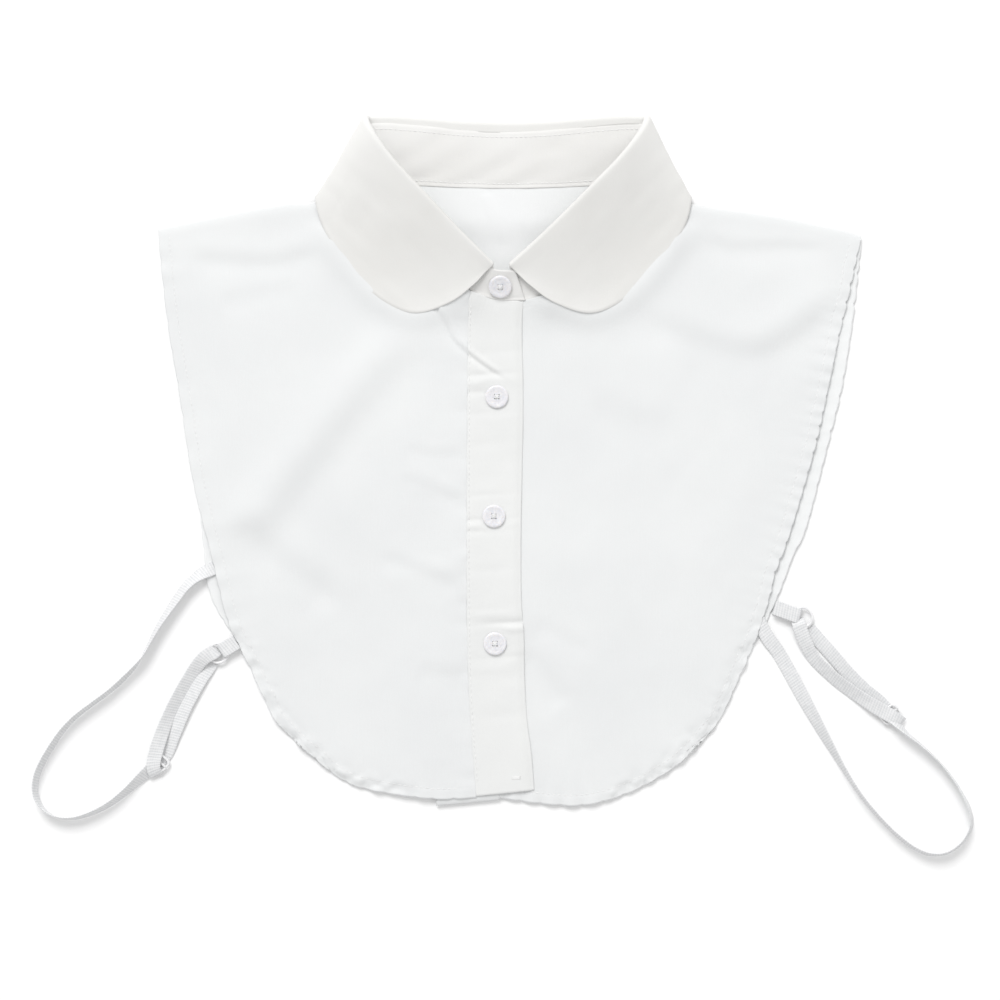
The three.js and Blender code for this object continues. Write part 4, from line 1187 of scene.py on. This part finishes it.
# The back: how its edges rise, the crease in the neck, its shoulders' height and its half thickness.
BACK = {
    "edge": 0.7, "wave": 0.35, "edgeReach": 5, "flatBelow": (-60, -95),
    "crease": [[-12, 140], [-8, 131], [-5, 122]], "creaseHeight": 0.5, "creaseWidth": 2.6,
    "shoulder": 0.6, "shoulderReach": 4, "half": 0.28,
}


def back_panel():
    half = seam_chain(left_rows[8:], -0.6)
    other = seam_chain(right_rows[8:-1], -0.6)[::-1]
    top = [OUTLINE["backLeftSide"][0], *OUTLINE["leftShoulder"][1:], *half, *other]
    top += [*OUTLINE["rightShoulder"][1:][::-1], OUTLINE["backRightSide"][0]]
    hem = OUTLINE["backHem"]
    sides = []
    for name, end in (("backLeftSide", 0), ("backRightSide", -1)):
        line, notches = puckered(OUTLINE[name], **EDGES[name])
        line[0], line[-1] = top[end], hem[end]
        sides.append((line.tolist(), notches))
    us, vs = steps(*SPACING["backAcross"]), steps(*SPACING["backDown"])
    xy = coons(sides[0][0], sides[1][0], top, hem, us, vs)
    x, y = xy[..., 0], xy[..., 1]
    z = back_height(x, y)
    for line, notches in sides:
        away, along = away_from(xy, Chain(line))
        raised = BACK["wave"] * (0.5 - 0.5 * notch_wave(along, notches)) + BACK["edge"]
        z += raised * np.exp(-away / BACK["edgeReach"]) * (1 - smooth(*BACK["flatBelow"], y))
    crease = away_from(xy, Chain(BACK["crease"]))[0]
    in_neck = ripple("neck", x, y, 31) * smooth(95, 115, y)
    z += BACK["creaseHeight"] * hump(crease, BACK["creaseWidth"]) + in_neck
    for part in (OUTLINE["leftShoulder"], OUTLINE["rightShoulder"]):
        near = 1 - smooth(0, BACK["shoulderReach"], away_from(xy, Chain(part))[0])
        z = np.maximum(z, PANEL_Z["back"] + BACK["shoulder"] * near)
    up = np.array([0.0, 0.0, BACK["half"]])
    return wall(np.dstack([xy, z]), up, up)


back = add_mesh("back_cloth", *back_panel(), back_cotton_painted_light, "panel_cotton", ["back_panel"])


# Placket and button stand.
BUTTONS = [
    {"name": "button_collar", "x": -5.0, "y": 92.4, "z": 8.9, "tilt": 19},
    {"name": "button_upper", "x": -6.8, "y": 33.5},
    {"name": "button_middle", "x": -8.4, "y": -30.8},
    {"name": "button_lower", "x": -7.8, "y": -99.4},
]
CLOTH, GAP, BUTTON_SINK = 1.0, 0.3, 0.5
BUTTON_SEAT = GAP + BUTTON_SINK + 0.2
for button in BUTTONS:
    if "z" not in button:
        there = placket_height(np.array([button["x"]]), np.array([button["y"]]))[0]
        button.update(z=there + CLOTH / 2 + GAP, tilt=0)


def strip(shape, height, columns, spacing):
    left, right = shape["left"], shape["right"]
    vs = steps(270, spacing, 4.0, spacing, spacing, 4.0)
    us = np.linspace(0, 1, columns)
    xy = coons(left, right, [left[0], shape["topMiddle"], right[0]], [left[-1], right[-1]], us, vs)
    return np.dstack([xy, height(xy[..., 0], xy[..., 1])])


# Puckers that the photograph shows across the placket: y, height, half width and where along x it is.
PUCKERS = [
    [45.5, -0.55, 1.7, -12], [41.0, 0.4, 2.0, -14], [36.0, -0.45, 2.0, -15], [24.5, -0.2, 2.2, -12],
    [-19.5, -0.25, 1.8, -12], [-32.4, -0.5, 1.4, -12], [-36.0, 0.4, 1.6, -14], [-39.0, -0.3, 1.6, -15],
    [-88.2, -0.9, 1.7, 1], [-91.5, 0.55, 1.8, 2], [-84.0, 0.4, 2.2, -10], [-106.6, -0.4, 2.0, -3],
    [-113.0, 0.2, 2.6, -12], [-138.0, -0.25, 3.4, -2], [8.0, -0.2, 3.2, -12], [58.0, -0.2, 3.0, -2],
    [-60.0, -0.2, 3.0, -10],
]
PUCKER = {"across": 13, "slant": 0.05}
# How the placket's cloth turns down at its stitched left edge and its folded right edge.
TURN_DOWN = {"left": (0.32, 1.5), "right": (0.75, 2.6)}
DENT = (6.0, 13.0)
PLACKET_HALF = {"above": 0.35, "below": 0.45, "edgeAbove": 0.1, "edgeBelow": 0.2, "edgeWidth": 2}


def placket_piece():
    shape = dict(PLACKET, left=[[x - 0.25, y] for x, y in PLACKET["left"]])
    grid = strip(shape, placket_height, 44, 0.95)
    xy, x, y, z = grid[..., :2], grid[..., 0], grid[..., 1], grid[..., 2]
    for at, height, width, centre in PUCKERS:
        off = y - at - PUCKER["slant"] * (x - centre)
        z = z + height * hump(x - centre, PUCKER["across"]) * hump(off, width)
    z = z + 0.14 * noise(x / 17, y / 5.6, 23) * noise(x / 30, y / 31, 25) + ripple("placket", x, y, 24)
    z = z + crease_height(xy)
    for side, (drop, width) in TURN_DOWN.items():
        away = away_from(xy, Chain(shape[side]))[0]
        z = z - drop * hump(away, width)
    for button in BUTTONS[1:]:
        dent = 1 - smooth(*DENT, np.hypot(x - button["x"], y - button["y"]))
        z = mix(z, np.minimum(z, button["z"] - BUTTON_SEAT), dent)
    grid = np.dstack([x, y, z])
    normals = upward_normals(grid)
    thin = hump(away, PLACKET_HALF["edgeWidth"])[..., None]
    above = normals * (PLACKET_HALF["above"] - PLACKET_HALF["edgeAbove"] * thin)
    below = normals * (PLACKET_HALF["below"] - PLACKET_HALF["edgeBelow"] * thin)
    return grid, wall(grid, above, below)


placket_grid, placket_wall = placket_piece()
placket = add_mesh("placket_cloth", *placket_wall, placket_cotton, "panel_cotton", ["placket"])
button_stand_grid = strip(BUTTON_STAND, button_stand_height, 16, 2.2)
flat_up = np.array([0.0, 0.0, 0.45])
button_stand = add_mesh(
    "button_stand_cloth", *wall(button_stand_grid, flat_up, flat_up), panel_cotton, "panel_cotton",
    ["button_stand"],
)


# Stitching: the placket's, the bar tack near its lower end, the collar's seams and the hems.
placket_line = Chain([[x + 0.9, y] for x, y in PLACKET["left"]]).even(2.0)[3:-2]
placket_rows = [stitches(on_grid(placket_grid, placket_line, 0.36))]
TACK = {
    "x": 3.6, "y": -171.6, "lift": 0.42, "length": 4.6, "rows": 5, "gap": 0.3, "slant": 0.02,
    "points": 9, "radius": 0.2,
}
tack_height = float(placket_height(np.array([TACK["x"]]), np.array([TACK["y"]]))[0]) + TACK["lift"]
ends = np.linspace(-0.5, 0.5, TACK["points"]) * TACK["length"]
for row in range(TACK["rows"]):
    tack_y = TACK["y"] + (row - 2) * TACK["gap"]
    line = np.stack([TACK["x"] + ends, tack_y + TACK["slant"] * ends, np.full_like(ends, tack_height)], -1)
    placket_rows.append(tube(line, TACK["radius"], STITCH["sides"]))
add_mesh("placket_stitching", *merged(placket_rows), thread, "panel_cotton")
add_mesh("hem_stitching", *merged(hem_stitching), thread, "panel_cotton")

# Finer stitches along the stand's foot and its top.
stand_normals = surface_normals(stand)
STAND_STITCH = {"off": 0.45, "lift": 0.05, "pitch": 2.6, "length": 2.0}
collar_rows = []
for column in (2, STAND_STEPS["up"] - 2):
    line = stand[:, column] + stand_normals[:, column] * STAND_STITCH["off"]
    collar_rows.append(
        stitches(line[4:-4], STAND_STITCH["lift"], STAND_STITCH["pitch"], STAND_STITCH["length"])
    )
add_mesh("collar_stitching", *merged(collar_rows), thread, "collar_cotton")


# Buttons: turned discs with a round rim, a dished face, four holes and the thread that sews them on.
BUTTON = {
    "hole": 0.38, "spread": 1.05, "thread": 0.34, "face": 1.18, "rings": 57, "sides": 64, "sharp": 50,
    "holeSides": 20, "strandGap": 0.16, "strandRise": 0.4, "strandDip": 0.9, "core": 1.1, "coreTop": 0.92,
}
BUTTON_PROFILE = [
    [0, 0.1], [3.6, 0.05], [5.6, 0.1], [6.0, 0.24], [6.17, 0.46], [6.2, 0.72], [6.05, 1.04],
    [5.68, 1.3], [5.2, 1.4], [4.72, 1.37], [4.25, 1.29], [3.8, 1.21], [3.1, 1.17], [1.9, 1.17], [0, 1.18],
]


def button_mesh(name):
    rings, sides = BUTTON["rings"], BUTTON["sides"]
    profile = spline(BUTTON_PROFILE, np.linspace(0, len(BUTTON_PROFILE) - 1, rings))
    turn = np.linspace(0, 2 * math.pi, sides, endpoint=False)
    ring = profile[1:-1]
    radius = np.maximum(ring[:, 0], 0.02)[:, None]
    height = np.broadcast_to(ring[:, 1][:, None], (len(ring), sides))
    points = np.stack([radius * np.cos(turn), radius * np.sin(turn), height], -1).reshape(-1, 3)
    points = np.vstack([points, [[0, 0, profile[0, 1]], [0, 0, profile[-1, 1]]]])
    faces = grid_faces(len(ring), sides, wrap=True)
    last = (len(ring) - 1) * sides
    for k in range(sides):
        n = (k + 1) % sides
        faces.append([len(points) - 2, k, n])
        faces.append([len(points) - 1, last + n, last + k])
    mesh = raw_mesh(name, points, faces)
    turn_outwards(mesh)
    return mesh


def cut_holes(piece):
    """Four holes through a button, by a boolean that is applied at once."""
    parts = []
    for sx in (-1, 1):
        for sy in (-1, 1):
            x, y = sx * BUTTON["spread"], sy * BUTTON["spread"]
            line = np.stack([np.full(3, x), np.full(3, y), np.linspace(-1, 4, 3)], -1)
            parts.append(tube(line, BUTTON["hole"], BUTTON["holeSides"]))
    cutter = linked("cutter", raw_mesh("cutter", *merged(parts)))
    modifier = piece.modifiers.new("holes", "BOOLEAN")
    modifier.operation = "DIFFERENCE"
    modifier.object = cutter
    modifier.solver = "EXACT"
    evaluated = piece.evaluated_get(bpy.context.evaluated_depsgraph_get())
    cut = bpy.data.meshes.new_from_object(evaluated)
    piece.modifiers.clear()
    piece.data = cut
    bpy.data.objects.remove(cutter)


blank = linked("blank", button_mesh("button_blank"))
cut_holes(blank)
button_points = np.array([v.co for v in blank.data.vertices]) / MM
button_faces = [list(p.vertices) for p in blank.data.polygons]
bpy.data.objects.remove(blank)


def button_thread():
    """Thread through the four holes: two crossing pairs of strands above the face, and a core below."""
    spread = BUTTON["spread"]
    t = np.linspace(0, 1, 15)
    off_middle = 2 * t - 1
    arch = BUTTON["strandRise"] * np.sqrt(np.maximum(0, 1 - off_middle**4))
    z = BUTTON["face"] + arch - BUTTON["strandDip"] * np.abs(off_middle) ** 9
    parts = []
    for (ax, ay), (bx, by) in (((-1, -1), (1, 1)), ((-1, 1), (1, -1))):
        for off in (-BUTTON["strandGap"], BUTTON["strandGap"]):
            x = mix(ax, bx, t) * spread + off * (by - ay) * 0.5
            y = mix(ay, by, t) * spread - off * (bx - ax) * 0.5
            parts.append(tube(np.stack([x, y, z], -1), BUTTON["thread"] * 0.7, 8))
    line = np.stack([np.zeros(5), np.zeros(5), np.linspace(-1.0, BUTTON["coreTop"], 5)], -1)
    parts.append(tube(line, BUTTON["core"], 12))
    return merged(parts)


def set_down(points, button):
    tilt = math.radians(button["tilt"])
    y = points[:, 1] * math.cos(tilt) - points[:, 2] * math.sin(tilt)
    z = points[:, 1] * math.sin(tilt) + points[:, 2] * math.cos(tilt)
    return np.stack([points[:, 0] + button["x"], y + button["y"], z + button["z"] - BUTTON_SINK], -1)


thread_points, thread_faces = button_thread()
for button in BUTTONS:
    name = button["name"]
    disc = add_mesh(
        name + "_pearl", set_down(button_points, button), button_faces, pearl, "button_plastic", [name]
    )
    disc.data.set_sharp_from_angle(angle=math.radians(BUTTON["sharp"]))
    add_mesh(name + "_thread", set_down(thread_points, button), thread_faces, thread, "panel_cotton")


# Floor and light.
FLOOR = {"size": 24.0, "z": -0.0002, "white": 0.97}
floor_mesh = bpy.data.meshes.new("floor")
half = FLOOR["size"] / 2
corners = [(x, y, FLOOR["z"]) for x, y in ((-half, -half), (half, -half), (half, half), (-half, half))]
floor_mesh.from_pydata(corners, [], [(0, 1, 2, 3)])
floor = linked("floor", floor_mesh)
floor_settings = {"Roughness": 0.95, "Base Color": (*[FLOOR["white"]] * 3, 1), "Specular IOR Level": 0.1}
floor_mesh.materials.append(new_material("floor_white", **floor_settings)[0])

LIGHTS = [
    {"name": "key", "at": (-1.1, 3.3, 3.5), "size": 2.2, "power": 150.0},
    {"name": "fill", "at": (1.6, -0.6, 2.2), "size": 2.6, "power": 5.0},
]
for light in LIGHTS:
    data = bpy.data.lights.new(light["name"], "AREA")
    data.size = light["size"]
    data.energy = light["power"]
    lamp = linked(light["name"], data)
    lamp.location = light["at"]
    lamp.rotation_euler = (-lamp.location).to_track_quat("-Z", "Y").to_euler()

WORLD_STRENGTH = 0.68
world = bpy.data.worlds.new("studio")
world.use_nodes = True
world.node_tree.nodes["Background"].inputs["Color"].default_value = (1.0, 1.0, 1.0, 1)
world.node_tree.nodes["Background"].inputs["Strength"].default_value = WORLD_STRENGTH
bpy.context.scene.world = world
bpy.context.scene.view_settings.view_transform = "Standard"
